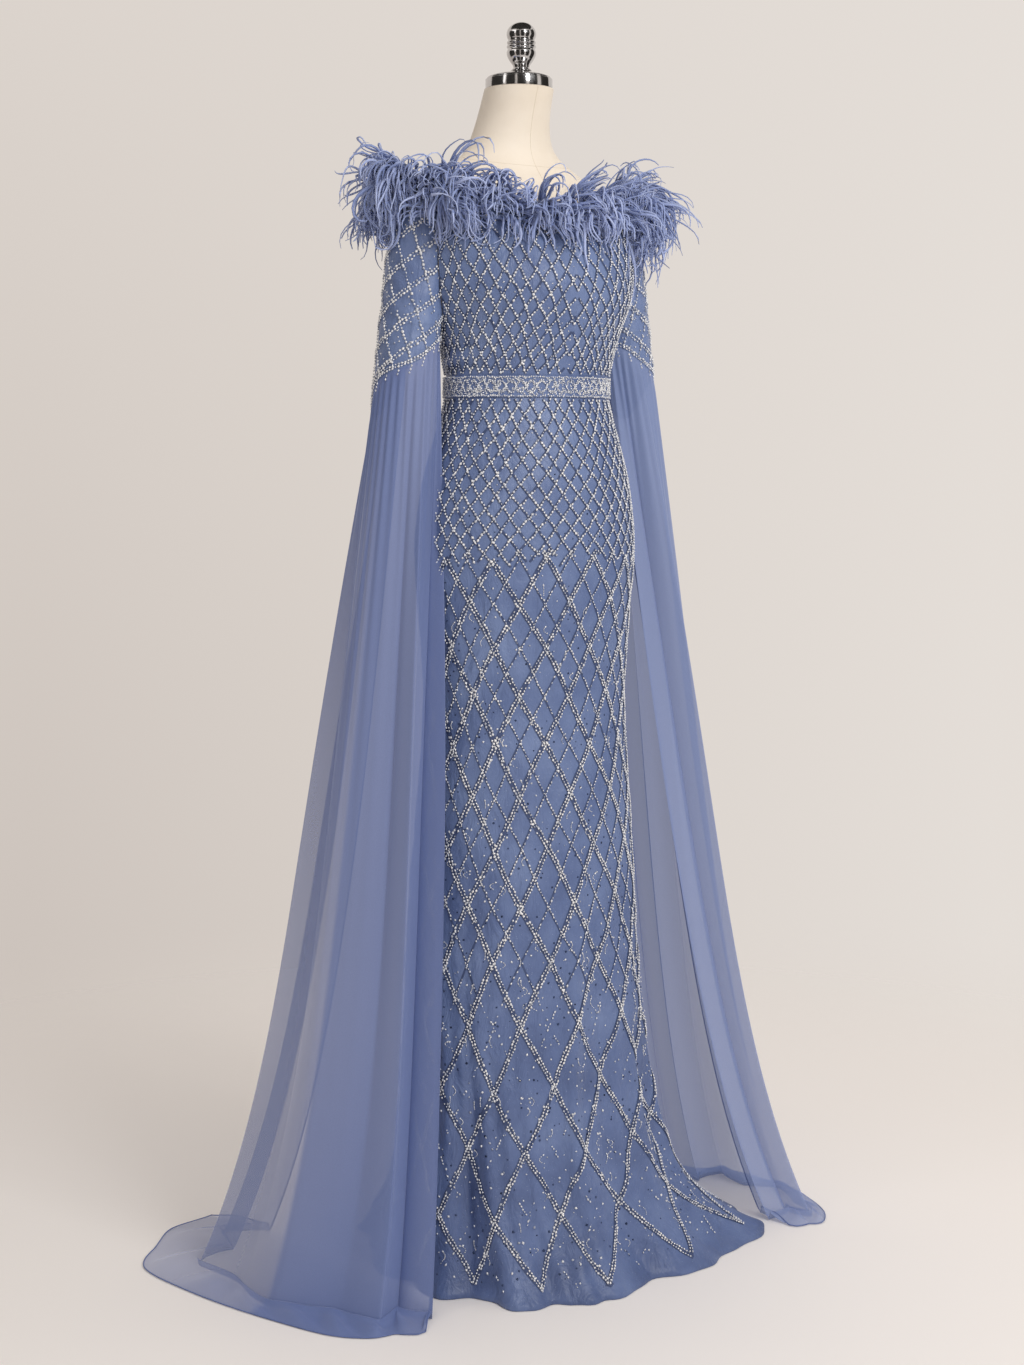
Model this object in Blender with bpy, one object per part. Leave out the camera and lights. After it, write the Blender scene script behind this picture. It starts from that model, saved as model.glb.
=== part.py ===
"""Off-shoulder beaded gown with feather trim and long capes, on a limbless dress form.

Metres, +Z up, origin on the floor under the pole. The front of the gown faces -Y and
the wearer's left is +X. Cloth is a thin wall between two grids of points.
"""

import math

import bmesh
import bpy
from mathutils import Vector

CLOTH = 0.0016  # wall of the gown's cloth
CHIFFON = 0.0012  # wall of the capes
SEAM = 0.0004  # space left between two pieces
SIDE_SEAM_TURN = SEAM / 2 / 0.11  # half a side seam as an angle round the waist
FORM_SNUG = 0.0008  # space between the gown and the form where the gown rests, up to the armpit
FORM_EASE = 0.0024  # and above the armpit

WAIST = 1.2435
NECKLINE = 1.500
NECK_DIP_FRONT = 0.008
NECK_DIP_BACK = 0.018
BELT_HEIGHT = 0.029
BELT_THICKNESS = 0.0026
FORM_BOTTOM = 0.860
NECK_TOP = 1.653

SKIRT_COLUMNS = 24
BODICE_COLUMNS = 16
SLEEVE_COLUMNS = 18
CAPE_COLUMNS_EACH = 3  # columns of a cape below each column of its sleeve

# Outside of the gown, and above the neckline of the form, at each height.
# height, wearer's left, wearer's right, front, back, middle in Y
BODY = (
    (0.000, 0.358, 0.215, 0.220, 0.300, 0.000),
    (0.018, 0.330, 0.208, 0.205, 0.280, 0.000),
    (0.045, 0.296, 0.203, 0.190, 0.258, 0.000),
    (0.090, 0.252, 0.198, 0.172, 0.228, 0.000),
    (0.150, 0.224, 0.194, 0.155, 0.205, 0.000),
    (0.240, 0.196, 0.188, 0.142, 0.185, 0.000),
    (0.360, 0.179, 0.180, 0.130, 0.168, 0.000),
    (0.520, 0.168, 0.172, 0.120, 0.152, 0.000),
    (0.632, 0.162, 0.164, 0.113, 0.138, 0.000),
    (0.800, 0.152, 0.152, 0.102, 0.120, 0.000),
    (0.914, 0.158, 0.158, 0.105, 0.124, 0.000),
    (1.020, 0.166, 0.166, 0.110, 0.123, 0.000),
    (1.106, 0.156, 0.156, 0.108, 0.113, 0.000),
    (1.164, 0.140, 0.140, 0.101, 0.102, 0.000),
    (1.200, 0.128, 0.128, 0.096, 0.095, 0.000),
    (WAIST, 0.119, 0.119, 0.092, 0.092, 0.000),
    (1.280, 0.125, 0.125, 0.100, 0.093, 0.000),
    (1.306, 0.130, 0.130, 0.108, 0.095, 0.000),
    (1.333, 0.140, 0.140, 0.117, 0.098, 0.001),
    (1.355, 0.149, 0.149, 0.124, 0.100, 0.002),
    (1.381, 0.157, 0.157, 0.127, 0.101, 0.004),
    (1.410, 0.162, 0.162, 0.123, 0.100, 0.007),
    (1.445, 0.164, 0.164, 0.112, 0.098, 0.012),
    (1.480, 0.160, 0.160, 0.098, 0.092, 0.019),
    (1.500, 0.153, 0.153, 0.088, 0.086, 0.024),
    (1.515, 0.141, 0.141, 0.080, 0.079, 0.029),
    (1.530, 0.122, 0.122, 0.072, 0.072, 0.034),
    (1.547, 0.099, 0.099, 0.064, 0.065, 0.040),
    (1.560, 0.081, 0.081, 0.059, 0.060, 0.043),
    (1.575, 0.068, 0.068, 0.056, 0.056, 0.044),
    (1.595, 0.060, 0.060, 0.054, 0.054, 0.041),
    (1.619, 0.055, 0.055, 0.053, 0.053, 0.034),
    (NECK_TOP, 0.052, 0.052, 0.052, 0.052, 0.021),
)

# Middle and radii of the sleeve at each height.
# height, distance from the middle of the body, middle in Y, radius in X, radius in Y
ARM = (
    (1.180, 0.191, 0.022, 0.0420, 0.0440),
    (1.250, 0.184, 0.022, 0.0415, 0.0440),
    (1.330, 0.1745, 0.022, 0.0410, 0.0440),
    (1.380, 0.168, 0.022, 0.0410, 0.0440),
    (1.446, 0.158, 0.024, 0.0410, 0.0450),
    (1.500, 0.148, 0.027, 0.0385, 0.0440),
    (1.545, 0.141, 0.030, 0.0350, 0.0420),
)
# Lower edge of the sleeve round the arm: from the inside of the arm by the front.
# degrees, height
SLEEVE_EDGE = (
    (0.0, 1.300),
    (52.0, 1.302),
    (100.0, 1.277),
    (180.0, 1.250),
    (240.0, 1.203),
    (285.0, 1.240),
    (308.0, 1.275),
    (360.0, 1.300),
)
SLEEVE_TOP_RISE = 0.035
SLEEVE_SEAM_TURN = math.degrees(SEAM / 0.042)  # the underarm seam as an angle round the arm
ARMHOLE_CLEAR = SEAM + 0.0012  # from the sleeve's outside to the edge of a bodice panel
SLEEVE_LOW_ROWS = (0.0, 0.5)
CAPE_FIRST = 3  # the columns of the sleeve between which its cape hangs
CAPE_LAST = 15
CAPE_COLUMNS = (CAPE_LAST - CAPE_FIRST) * CAPE_COLUMNS_EACH

# Where each cape meets the floor, and where its hem lies, from its front edge.
# share of the width, foot x, foot y, hem x, hem y (x is the distance from the middle)
CAPE_FLOOR = {
    "cape_right": (
        (0.00, 0.232, -0.125, 0.276, -0.178),
        (0.18, 0.300, -0.118, 0.330, -0.158),
        (0.34, 0.358, -0.075, 0.388, -0.120),
        (0.50, 0.400, 0.005, 0.432, -0.020),
        (0.66, 0.424, 0.110, 0.486, 0.130),
        (0.78, 0.408, 0.200, 0.492, 0.240),
        (0.90, 0.350, 0.265, 0.420, 0.335),
        (1.00, 0.290, 0.285, 0.330, 0.375),
    ),
    "cape_left": (
        (0.00, 0.374, -0.080, 0.380, -0.140),
        (0.18, 0.420, -0.112, 0.420, -0.156),
        (0.34, 0.456, -0.082, 0.466, -0.122),
        (0.50, 0.462, -0.020, 0.486, -0.032),
        (0.66, 0.446, 0.040, 0.478, 0.052),
        (0.78, 0.420, 0.086, 0.450, 0.112),
        (0.90, 0.380, 0.118, 0.404, 0.152),
        (1.00, 0.340, 0.140, 0.362, 0.176),
    ),
}
CAPE_PLEATS = 6.5
CAPE_PLEAT_DEPTH = 0.019
CAPE_DROPS = (0.0, 0.05, 0.16, 0.32, 0.50, 0.68, 0.82, 0.93, 0.982)
CAPE_FLOOR_ROWS = (0.25, 1.0)

FOLD_START = 0.62  # height under which the skirt falls in soft folds
FOLD_DEPTH = 0.0085
SWEEP_START = 0.20  # height under which the hem sweeps out to the wearer's left
SWEEP_DEPTH = 0.030
SWEEP_ANGLE = 1.05
SWEEP_WIDTH = 0.40

BACKING_THICKNESS = 0.0020
BACKING_HEIGHT = 0.024
BACKING_CLEAR = SEAM + 0.0003  # from the cloth to the backing strip
LOCK_ROOT_MARGIN = 0.0009
LOCK_TAPER = (0.72, 0.16)  # width of a lock at the end of each stretch, against its root
LOCK_DROOP = 26.0
# Rows of locks from the top: rise in degrees, length
FRONT_LOCKS = ((58, 0.050), (2, 0.050), (-58, 0.068))
BACK_LOCKS = ((50, 0.050), (-42, 0.066))
SHOULDER_LOCKS = ((52, 0.052), (6, 0.060), (-50, 0.078))
SHOULDERS_OVAL = (0.20, 0.13)  # radii of the oval from which the locks lean out
SHOULDERS_MIDDLE = 0.02

POLE_RADIUS = 0.0125
FOOT_RADIUS = 0.145
FOOT_HEIGHT = 0.018
CAP_RADIUS = 0.0465
CAP_HEIGHT = 0.0165

BLUE = (0.165, 0.225, 0.425)
BLUE_DARK = (0.125, 0.175, 0.350)
BLUE_PALE = (0.245, 0.300, 0.510)
SILVER = (0.620, 0.640, 0.680)
CREAM = (0.800, 0.700, 0.570)
CHROME = (0.560, 0.560, 0.570)


def clear_scene():
    for obj in list(bpy.data.objects):
        bpy.data.objects.remove(obj, do_unlink=True)


def material(name, colour, roughness, metallic=0.0):
    made = bpy.data.materials.new(name)
    made.use_nodes = True
    shader = made.node_tree.nodes["Principled BSDF"]
    shader.inputs["Base Color"].default_value = (*colour, 1.0)
    shader.inputs["Roughness"].default_value = roughness
    shader.inputs["Metallic"].default_value = metallic
    return made


def read_table(table, at):
    """The columns of a table at this value of its first column, on a smooth curve."""
    last = len(table) - 1
    at = min(max(at, table[0][0]), table[last][0])
    i = max(k for k in range(last) if table[k][0] <= at)
    low, high = table[i], table[i + 1]
    span = high[0] - low[0]
    share = (at - low[0]) / span
    before, after = table[max(i - 1, 0)], table[min(i + 2, last)]
    values = []
    for c in range(1, len(low)):
        slope_low = (high[c] - before[c]) / (high[0] - before[0]) * span
        slope_high = (after[c] - low[c]) / (after[0] - low[0]) * span
        bend = share * share * (3 - 2 * share)
        values.append(
            low[c] + (high[c] - low[c]) * bend
            + slope_low * share * (1 - share) ** 2
            - slope_high * share * share * (1 - share)
        )
    return values


def ripple(height, angle):
    """How far the skirt's soft folds and its sweep over the floor stand out at this height."""
    depth = FOLD_DEPTH * max(0.0, 1.0 - height / FOLD_START) ** 1.6
    wave = math.cos(11 * angle + 0.6) + 0.5 * math.cos(5 * angle + 1.9)
    turned_off = (angle - SWEEP_ANGLE) / SWEEP_WIDTH
    sweep = SWEEP_DEPTH * max(0.0, 1.0 - height / SWEEP_START) ** 3 * math.exp(-turned_off ** 2)
    return depth * wave + sweep


def body_point(height, angle, inset=0.0):
    """A point round the body: angle 0 is the front, a quarter turn the wearer's left."""
    left, right, front, back, middle = read_table(BODY, height)
    side = left if math.sin(angle) >= 0 else right
    depth = front if math.cos(angle) >= 0 else back
    grow = ripple(height, angle) - inset
    return Vector((
        (side + grow) * math.sin(angle),
        middle - (depth + grow) * math.cos(angle),
        height,
    ))


def arm_point(side, height, turn, inset=0.0):
    """A point round the sleeve: turn 0 faces the body, 90 the front and 180 outwards."""
    away, middle, radius_x, radius_y = read_table(ARM, height)
    turn = math.radians(turn)
    return Vector((
        side * (away - (radius_x - inset) * math.cos(turn)),
        middle - (radius_y - inset) * math.sin(turn),
        height,
    ))


def in_arm(point, grow):
    away, middle, radius_x, radius_y = read_table(ARM, point.z)
    across = (abs(point.x) - away) / (radius_x + grow)
    along = (point.y - middle) / (radius_y + grow)
    return across * across + along * along < 1


def in_body(point):
    left, _, front, back, middle = read_table(BODY, point.z)
    depth = front if point.y < middle else back
    return (point.x / left) ** 2 + ((point.y - middle) / depth) ** 2 < 1


def last_clear(blocked, start, stop):
    """The last value from start towards stop before blocked(value) is true."""
    steps = 240
    for k in range(steps + 1):
        value = start + (stop - start) * k / steps
        if blocked(value):
            clear = start + (stop - start) * max(k - 1, 0) / steps
            for _ in range(24):
                middle = (clear + value) / 2
                if blocked(middle):
                    value = middle
                else:
                    clear = middle
            return clear
    return stop


def armpit_height():
    """The height at which the sleeve begins to meet the side of the body."""
    def meets(height):
        return any(
            in_arm(body_point(height, math.radians(80 + k)), SEAM * 2)
            for k in range(30)
        )
    return last_clear(meets, 1.28, 1.40)


ARMPIT = armpit_height()
ARMHOLE_ROWS = (
    ARMPIT + 0.004,
    ARMPIT + 0.014,
    ARMPIT + 0.035,
    ARMPIT + 0.070,
    1.445,
    NECKLINE,
)


def panel_edge(height, inset, back):
    """How far round from its middle line a front or back panel reaches at this height."""
    side_seam = math.pi / 2 - SIDE_SEAM_TURN
    if height <= ARMPIT:
        return side_seam
    turned = math.pi if back else 0.0
    edge = last_clear(
        lambda angle: in_arm(body_point(height, abs(turned - angle), inset), ARMHOLE_CLEAR),
        0.35,
        math.pi / 2,
    )
    return min(edge, side_seam)


def add_object(name, made, mat):
    mesh = bpy.data.meshes.new(name)
    bmesh.ops.recalc_face_normals(made, faces=made.faces[:])
    made.to_mesh(mesh)
    made.free()
    mesh.materials.append(mat)
    mesh.shade_smooth()
    mesh.set_sharp_from_angle(angle=math.radians(50))
    obj = bpy.data.objects.new(name, mesh)
    bpy.context.scene.collection.objects.link(obj)
    return obj


def wall_mesh(outer, inner, ring=False):
    """A closed wall between two grids of points, rows from top to bottom."""
    made = bmesh.new()
    outside = [[made.verts.new(p) for p in row] for row in outer]
    inside = [[made.verts.new(p) for p in row] for row in inner]
    rows, columns = len(outer), len(outer[0])
    for i in range(rows - 1):
        for j in range(columns if ring else columns - 1):
            k = (j + 1) % columns
            made.faces.new((outside[i][j], outside[i + 1][j], outside[i + 1][k], outside[i][k]))
            made.faces.new((inside[i][k], inside[i + 1][k], inside[i + 1][j], inside[i][j]))
    for i in (0, rows - 1):
        for j in range(columns if ring else columns - 1):
            k = (j + 1) % columns
            corners = (outside[i][j], outside[i][k], inside[i][k], inside[i][j])
            made.faces.new(corners if i == 0 else corners[::-1])
    if not ring:
        for j in (0, columns - 1):
            for i in range(rows - 1):
                corners = (outside[i][j], inside[i][j], inside[i + 1][j], outside[i + 1][j])
                made.faces.new(corners if j == 0 else corners[::-1])
    return made


def lining(grid, thickness, side=1.0):
    """The points behind a grid, at right angles to it and not under the floor."""
    rows, columns = len(grid), len(grid[0])
    behind = []
    for i in range(rows):
        line = []
        for j in range(columns):
            across = grid[i][min(j + 1, columns - 1)] - grid[i][max(j - 1, 0)]
            down = grid[min(i + 1, rows - 1)][j] - grid[max(i - 1, 0)][j]
            normal = down.cross(across).normalized() * side
            point = grid[i][j] - normal * thickness
            point.z = max(point.z, 0.0)
            line.append(point)
        behind.append(line)
    for j in range(columns):
        behind[-1][j] = Vector((grid[-1][j].x, grid[-1][j].y, 0.0))
    return behind


def make_skirt(name, back, mat):
    """The front or back of the skirt, from the waist seam to the hem on the floor."""
    heights = (WAIST - SEAM / 2, WAIST - BELT_HEIGHT / 2, 1.180, 1.110, 1.020, 0.900, 0.760,
               0.580, 0.390, 0.250, 0.150, 0.080, 0.030, 0.0)
    middle = math.pi if back else 0.0
    reach = math.pi / 2 - SIDE_SEAM_TURN
    grid = []
    for height in heights:
        row = []
        for j in range(SKIRT_COLUMNS + 1):
            angle = middle + reach * (2 * j / SKIRT_COLUMNS - 1)
            point = body_point(height, angle)
            point.z = max(height, CLOTH)
            row.append(point)
        grid.append(row)
    inside = lining(grid, CLOTH)
    for j in range(SKIRT_COLUMNS + 1):
        inside[0][j].z = grid[0][j].z
    return add_object(name, wall_mesh(grid, inside), mat)


def make_bodice(name, back, mat):
    heights = (WAIST + SEAM / 2, WAIST + BELT_HEIGHT / 2, 1.290, ARMPIT, *ARMHOLE_ROWS)
    dip = NECK_DIP_BACK if back else NECK_DIP_FRONT
    middle = math.pi if back else 0.0
    sides = []
    for inset in (0.0, CLOTH):
        grid = []
        for height in reversed(heights):
            reach = panel_edge(height, inset, back)
            row = []
            for j in range(BODICE_COLUMNS + 1):
                share = 2 * j / BODICE_COLUMNS - 1
                lowered = dip * (1 - share * share) if height == NECKLINE else 0.0
                row.append(body_point(height - lowered, middle + reach * share, inset))
            grid.append(row)
        sides.append(grid)
    return add_object(name, wall_mesh(*sides), mat)


def make_belt(mat):
    count = 48
    outer, inner = [], []
    for height in (WAIST + BELT_HEIGHT / 2, WAIST, WAIST - BELT_HEIGHT / 2):
        angles = [2 * math.pi * j / count for j in range(count)]
        clear = SEAM + 0.0003
        outer.append([body_point(height, angle, -clear - BELT_THICKNESS) for angle in angles])
        inner.append([body_point(height, angle, -clear) for angle in angles])
    return add_object("belt", wall_mesh(outer, inner, ring=True), mat)


def sleeve_turns(side, height):
    """The turns between which the sleeve's wall runs at this height."""
    seam = SLEEVE_SEAM_TURN / 2
    if height <= ARMPIT:
        return seam, 360 - seam

    def shows(turn):
        return not in_body(arm_point(side, height, turn))
    return (
        max(last_clear(shows, 0.0, 150.0), seam),
        min(last_clear(shows, 360.0, 210.0), 360 - seam),
    )


def sleeve_place(side, row, share):
    """Height and turn of a point of the sleeve, row 0 at the lower edge."""
    if row < len(SLEEVE_LOW_ROWS):
        start, end = sleeve_turns(side, ARMPIT)
        turn = start + (end - start) * share
        low = read_table(SLEEVE_EDGE, turn)[0]
        return low + (ARMPIT - low) * SLEEVE_LOW_ROWS[row], turn
    levels = (ARMPIT, *ARMHOLE_ROWS)
    height = levels[row - len(SLEEVE_LOW_ROWS)]
    start, end = sleeve_turns(side, height)
    if height == NECKLINE:
        height += SLEEVE_TOP_RISE * math.sin(math.pi * share) ** 2
    return height, start + (end - start) * share


def make_sleeve(name, side, mat):
    rows = len(SLEEVE_LOW_ROWS) + 1 + len(ARMHOLE_ROWS)
    sides = []
    for inset in (0.0, CLOTH):
        grid = []
        for row in reversed(range(rows)):
            places = [sleeve_place(side, row, j / SLEEVE_COLUMNS) for j in range(SLEEVE_COLUMNS + 1)]
            grid.append([arm_point(side, height, turn, inset) for height, turn in places])
        sides.append(grid)
    return add_object(name, wall_mesh(*sides), mat)


def cape_top(share):
    """Turn and height of a cape's top, under the straight edges of the sleeve's wall."""
    start, end = sleeve_turns(1.0, ARMPIT)
    step = (end - start) / SLEEVE_COLUMNS
    place = CAPE_FIRST + (CAPE_LAST - CAPE_FIRST) * share
    column = min(int(place), CAPE_LAST - 1)
    low, high = (read_table(SLEEVE_EDGE, start + step * k)[0] for k in (column, column + 1))
    return start + step * place, low + (high - low) * (place - column) - SEAM * 1.5


def cape_spread(drop):
    """How far a cape has opened from the sleeve's ring to its foot at this share of the fall."""
    return 0.75 * drop + 0.25 * drop ** 6


def cape_pleat(share, fullness):
    """How far a pleat stands out at this share of the cape's width."""
    wave = math.sin(2 * math.pi * CAPE_PLEATS * (share + 0.035 * math.sin(5 * share)))
    return CAPE_PLEAT_DEPTH * fullness * wave * (0.75 + 0.35 * math.sin(7.3 * share + 1.1))


def cape_point(name, side, share, drop, along):
    """A point of a cape: drop runs down to its foot, then along runs out over the floor."""
    turn, top_height = cape_top(share)
    top = arm_point(side, top_height, turn)
    foot_x, foot_y, hem_x, hem_y = read_table(CAPE_FLOOR[name], share)
    foot = Vector((side * foot_x, foot_y, 0.0))
    hem = Vector((side * hem_x, hem_y, 0.0))
    spread = cape_spread(drop)
    point = top.lerp(foot, spread)
    point.z = top_height * (1 - drop)
    if along > 0:
        point = foot.lerp(hem, along)
        point.z = 0.012 * (1 - along) ** 4 if along < 0.5 else 0.0
    ahead = read_table(CAPE_FLOOR[name], min(share + 0.02, 1.0))
    behind = read_table(CAPE_FLOOR[name], max(share - 0.02, 0.0))
    line = Vector((side * (ahead[0] - behind[0]), ahead[1] - behind[1], 0.0)).normalized()
    outward = Vector((side * line.y, -side * line.x, 0.0))
    fullness = math.sin(math.pi / 2 * min(1.0, drop / 0.55)) * (1 - 0.35 * along)
    return point + outward * cape_pleat(share, fullness)


def make_cape(name, side, mat):
    places = [(drop, 0.0) for drop in CAPE_DROPS] + [(1.0, along) for along in CAPE_FLOOR_ROWS]
    grid = []
    for drop, along in places:
        row = [
            cape_point(name, side, j / CAPE_COLUMNS, drop, along)
            for j in range(CAPE_COLUMNS + 1)
        ]
        for point in row:
            point.z = max(point.z, CHIFFON)
        grid.append(row)
    inside = lining(grid, CHIFFON, side)
    for j in range(CAPE_COLUMNS + 1):
        inside[0][j].z = grid[0][j].z
    return add_object(name, wall_mesh(grid, inside), mat)


def lock_heading(point):
    """Which way the trim's locks lean, level with the floor: out from the shoulders' oval."""
    across, along = SHOULDERS_OVAL
    return Vector((
        point.x / across ** 2,
        (point.y - SHOULDERS_MIDDLE) / along ** 2,
        0.0,
    )).normalized()


def grow_lock(made, face, rise, length, droop):
    """A curling lock drawn out of one face of the backing, in stretches that droop and taper."""
    bmesh.ops.inset_individual(made, faces=[face], thickness=LOCK_ROOT_MARGIN)
    heading = lock_heading(face.calc_center_median())
    width = 1.0
    for part, taper in enumerate(LOCK_TAPER):
        face = bmesh.ops.extrude_discrete_faces(made, faces=[face])["faces"][0]
        lean = rise - droop * part
        step = heading * math.cos(lean) + Vector((0, 0, math.sin(lean)))
        shift = step * length / len(LOCK_TAPER)
        middle = face.calc_center_median()
        for vert in face.verts:
            vert.co = middle + (vert.co - middle) * (taper / width) + shift
        width = taper


def make_trim(name, place, columns, locks, mat):
    """A backing strip off the edge of the cloth, with rows of locks drawn out of it."""
    outer, inner = [], []
    rows = len(locks)
    for i in range(rows + 1):
        outer_row, inner_row = [], []
        for j in range(columns + 1):
            point, out = place(j / columns, i / rows)
            inner_row.append(point + out * BACKING_CLEAR)
            outer_row.append(point + out * (BACKING_CLEAR + BACKING_THICKNESS))
        outer.append(outer_row)
        inner.append(inner_row)
    made = wall_mesh(outer, inner)
    bmesh.ops.recalc_face_normals(made, faces=made.faces[:])
    made.faces.ensure_lookup_table()
    # Faces were made in pairs, outside first, row by row from the top.
    roots = [[made.faces[2 * (i * columns + j)] for j in range(columns)] for i in range(rows)]
    for i, (rise, length) in enumerate(locks):
        for j in range(columns):
            vary = math.sin(12.9 * j + 5.3 * i)
            grow_lock(
                made,
                roots[i][j],
                math.radians(rise + 7 * vary),
                length * (1 + 0.16 * math.sin(7.7 * j + 2.1 * i)),
                math.radians(LOCK_DROOP + 8 * vary),
            )
    return add_object(name, made, mat)


def neckline_place(back):
    middle = math.pi if back else 0.0
    dip = NECK_DIP_BACK if back else NECK_DIP_FRONT
    reach = panel_edge(NECKLINE - BACKING_HEIGHT, 0.0, back) - 0.18

    def place(share, down):
        across = 2 * share - 1
        height = NECKLINE - 0.002 - dip * (1 - across * across) - BACKING_HEIGHT * down
        angle = middle + reach * across
        point = body_point(height, angle)
        wider = body_point(height, angle, -0.01)
        return point, (wider - point).normalized()
    return place


def shoulder_place(side):
    def place(share, down):
        start, end = sleeve_turns(side, NECKLINE)
        turn = start + 12 + (end - start - 24) * share
        rise = SLEEVE_TOP_RISE * math.sin(math.pi * share) ** 2
        height = NECKLINE - 0.002 + rise - BACKING_HEIGHT * down
        point = arm_point(side, height, turn)
        wider = arm_point(side, height, turn, -0.01)
        return point, (wider - point).normalized()
    return place


def make_torso(mat):
    heights = (FORM_BOTTOM, 0.900, 1.020, 1.110, 1.180, WAIST - BELT_HEIGHT / 2, WAIST,
               WAIST + BELT_HEIGHT / 2, 1.290, ARMPIT, *ARMHOLE_ROWS,
               1.518, 1.535, 1.550, 1.567, 1.590, 1.620, NECK_TOP)
    count = 32
    made = bmesh.new()
    rings = []
    for height in heights:
        ease = FORM_SNUG if height < ARMPIT else FORM_EASE
        ring = [
            made.verts.new(body_point(height, 2 * math.pi * j / count, CLOTH + ease))
            for j in range(count)
        ]
        rings.append(ring)
    for low, high in zip(rings, rings[1:]):
        for j in range(count):
            k = (j + 1) % count
            made.faces.new((low[j], low[k], high[k], high[j]))
    made.faces.new(rings[0][::-1])
    made.faces.new(rings[-1])
    return add_object("form_torso", made, mat)


def turned(name, profile, centre, mat, count=28):
    """A solid turned from (radius, height) points, on an upright line through centre."""
    made = bmesh.new()
    rings = []
    for radius, height in profile:
        ring = []
        for j in range(count):
            angle = 2 * math.pi * j / count
            ring.append(made.verts.new((
                centre[0] + radius * math.cos(angle),
                centre[1] + radius * math.sin(angle),
                height,
            )))
        rings.append(ring)
    for low, high in zip(rings, rings[1:]):
        for j in range(count):
            k = (j + 1) % count
            made.faces.new((low[j], low[k], high[k], high[j]))
    made.faces.new(rings[0][::-1])
    made.faces.new(rings[-1])
    return add_object(name, made, mat)


def make_finial(bottom, centre, mat):
    """A turned finial: short stem, lower bulb, ribbed ring and ball."""
    profile = [(0.0125, bottom), (0.0120, bottom + 0.008)]
    for centre_height, radius, flat in ((0.0175, 0.0190, 0.0115), (0.0315, 0.0150, 0.0045)):
        for k in range(1, 6):
            angle = math.pi * (k / 6 - 0.5)
            profile.append((
                radius * (0.45 + 0.55 * math.cos(angle)),
                bottom + centre_height + flat * math.sin(angle),
            ))
    ball, ball_height = 0.0185, bottom + 0.0535
    for k in range(8):
        angle = math.pi * (-0.30 + 0.78 * k / 7)
        profile.append((ball * math.cos(angle), ball_height + ball * 0.68 * math.sin(angle)))
    return turned("form_finial", profile, centre, mat, 20)


def make_stand():
    metal = material("chrome", CHROME, 0.08, 1.0)
    padding = material("form_cover", CREAM, 0.75)
    make_torso(padding)
    neck = (0.0, 0.021)
    cap_bottom = NECK_TOP + SEAM
    turned("form_neck_cap", (
        (CAP_RADIUS - 0.0010, cap_bottom),
        (CAP_RADIUS, cap_bottom + 0.0010),
        (CAP_RADIUS, cap_bottom + CAP_HEIGHT - 0.0015),
        (CAP_RADIUS - 0.0015, cap_bottom + CAP_HEIGHT),
        (CAP_RADIUS * 0.6, cap_bottom + CAP_HEIGHT + 0.0045),
        (CAP_RADIUS * 0.3, cap_bottom + CAP_HEIGHT + 0.0065),
    ), neck, metal, 36)
    make_finial(cap_bottom + CAP_HEIGHT + 0.0065 + SEAM, (0.0, 0.015), metal)
    turned("form_base", (
        (FOOT_RADIUS, 0.0),
        (FOOT_RADIUS, FOOT_HEIGHT * 0.55),
        (FOOT_RADIUS * 0.93, FOOT_HEIGHT * 0.9),
        (POLE_RADIUS * 2.2, FOOT_HEIGHT),
    ), (0.0, 0.0), metal, 40)
    turned("form_pole", (
        (POLE_RADIUS, FOOT_HEIGHT + SEAM),
        (POLE_RADIUS, FORM_BOTTOM - SEAM),
    ), (0.0, 0.0), metal, 20)


def make_gown():
    beaded = material("beaded_satin", BLUE, 0.42)
    sheer = material("chiffon", BLUE_PALE, 0.75)
    plume = material("feather", BLUE_DARK, 0.85)
    make_skirt("skirt_front", False, beaded)
    make_skirt("skirt_back", True, beaded)
    make_bodice("bodice_front", False, beaded)
    make_bodice("bodice_back", True, beaded)
    make_belt(material("bead_belt", SILVER, 0.3, 0.3))
    for word, side in (("right", -1.0), ("left", 1.0)):
        make_sleeve("sleeve_" + word, side, beaded)
        make_cape("cape_" + word, side, sheer)
        make_trim("feather_shoulder_" + word, shoulder_place(side), 14, SHOULDER_LOCKS, plume)
    make_trim("feather_front", neckline_place(False), 18, FRONT_LOCKS, plume)
    make_trim("feather_back", neckline_place(True), 16, BACK_LOCKS, plume)


clear_scene()
make_stand()
make_gown()
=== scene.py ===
import math

import bpy
import numpy as np
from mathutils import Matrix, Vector


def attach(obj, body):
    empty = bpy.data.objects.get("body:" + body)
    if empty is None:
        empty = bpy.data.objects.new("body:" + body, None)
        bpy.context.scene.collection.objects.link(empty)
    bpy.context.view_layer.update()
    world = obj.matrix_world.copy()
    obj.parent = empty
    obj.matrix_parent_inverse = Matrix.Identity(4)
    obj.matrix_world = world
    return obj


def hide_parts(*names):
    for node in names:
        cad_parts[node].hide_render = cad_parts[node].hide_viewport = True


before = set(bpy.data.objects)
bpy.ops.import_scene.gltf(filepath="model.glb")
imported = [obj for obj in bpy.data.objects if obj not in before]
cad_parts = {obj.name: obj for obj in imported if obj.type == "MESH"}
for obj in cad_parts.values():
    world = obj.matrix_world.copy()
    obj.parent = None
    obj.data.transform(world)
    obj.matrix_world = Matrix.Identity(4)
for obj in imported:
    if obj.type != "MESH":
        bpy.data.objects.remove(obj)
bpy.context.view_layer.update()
print("frame loaded,", len(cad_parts), "solids")

chance = np.random.default_rng(27)

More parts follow.
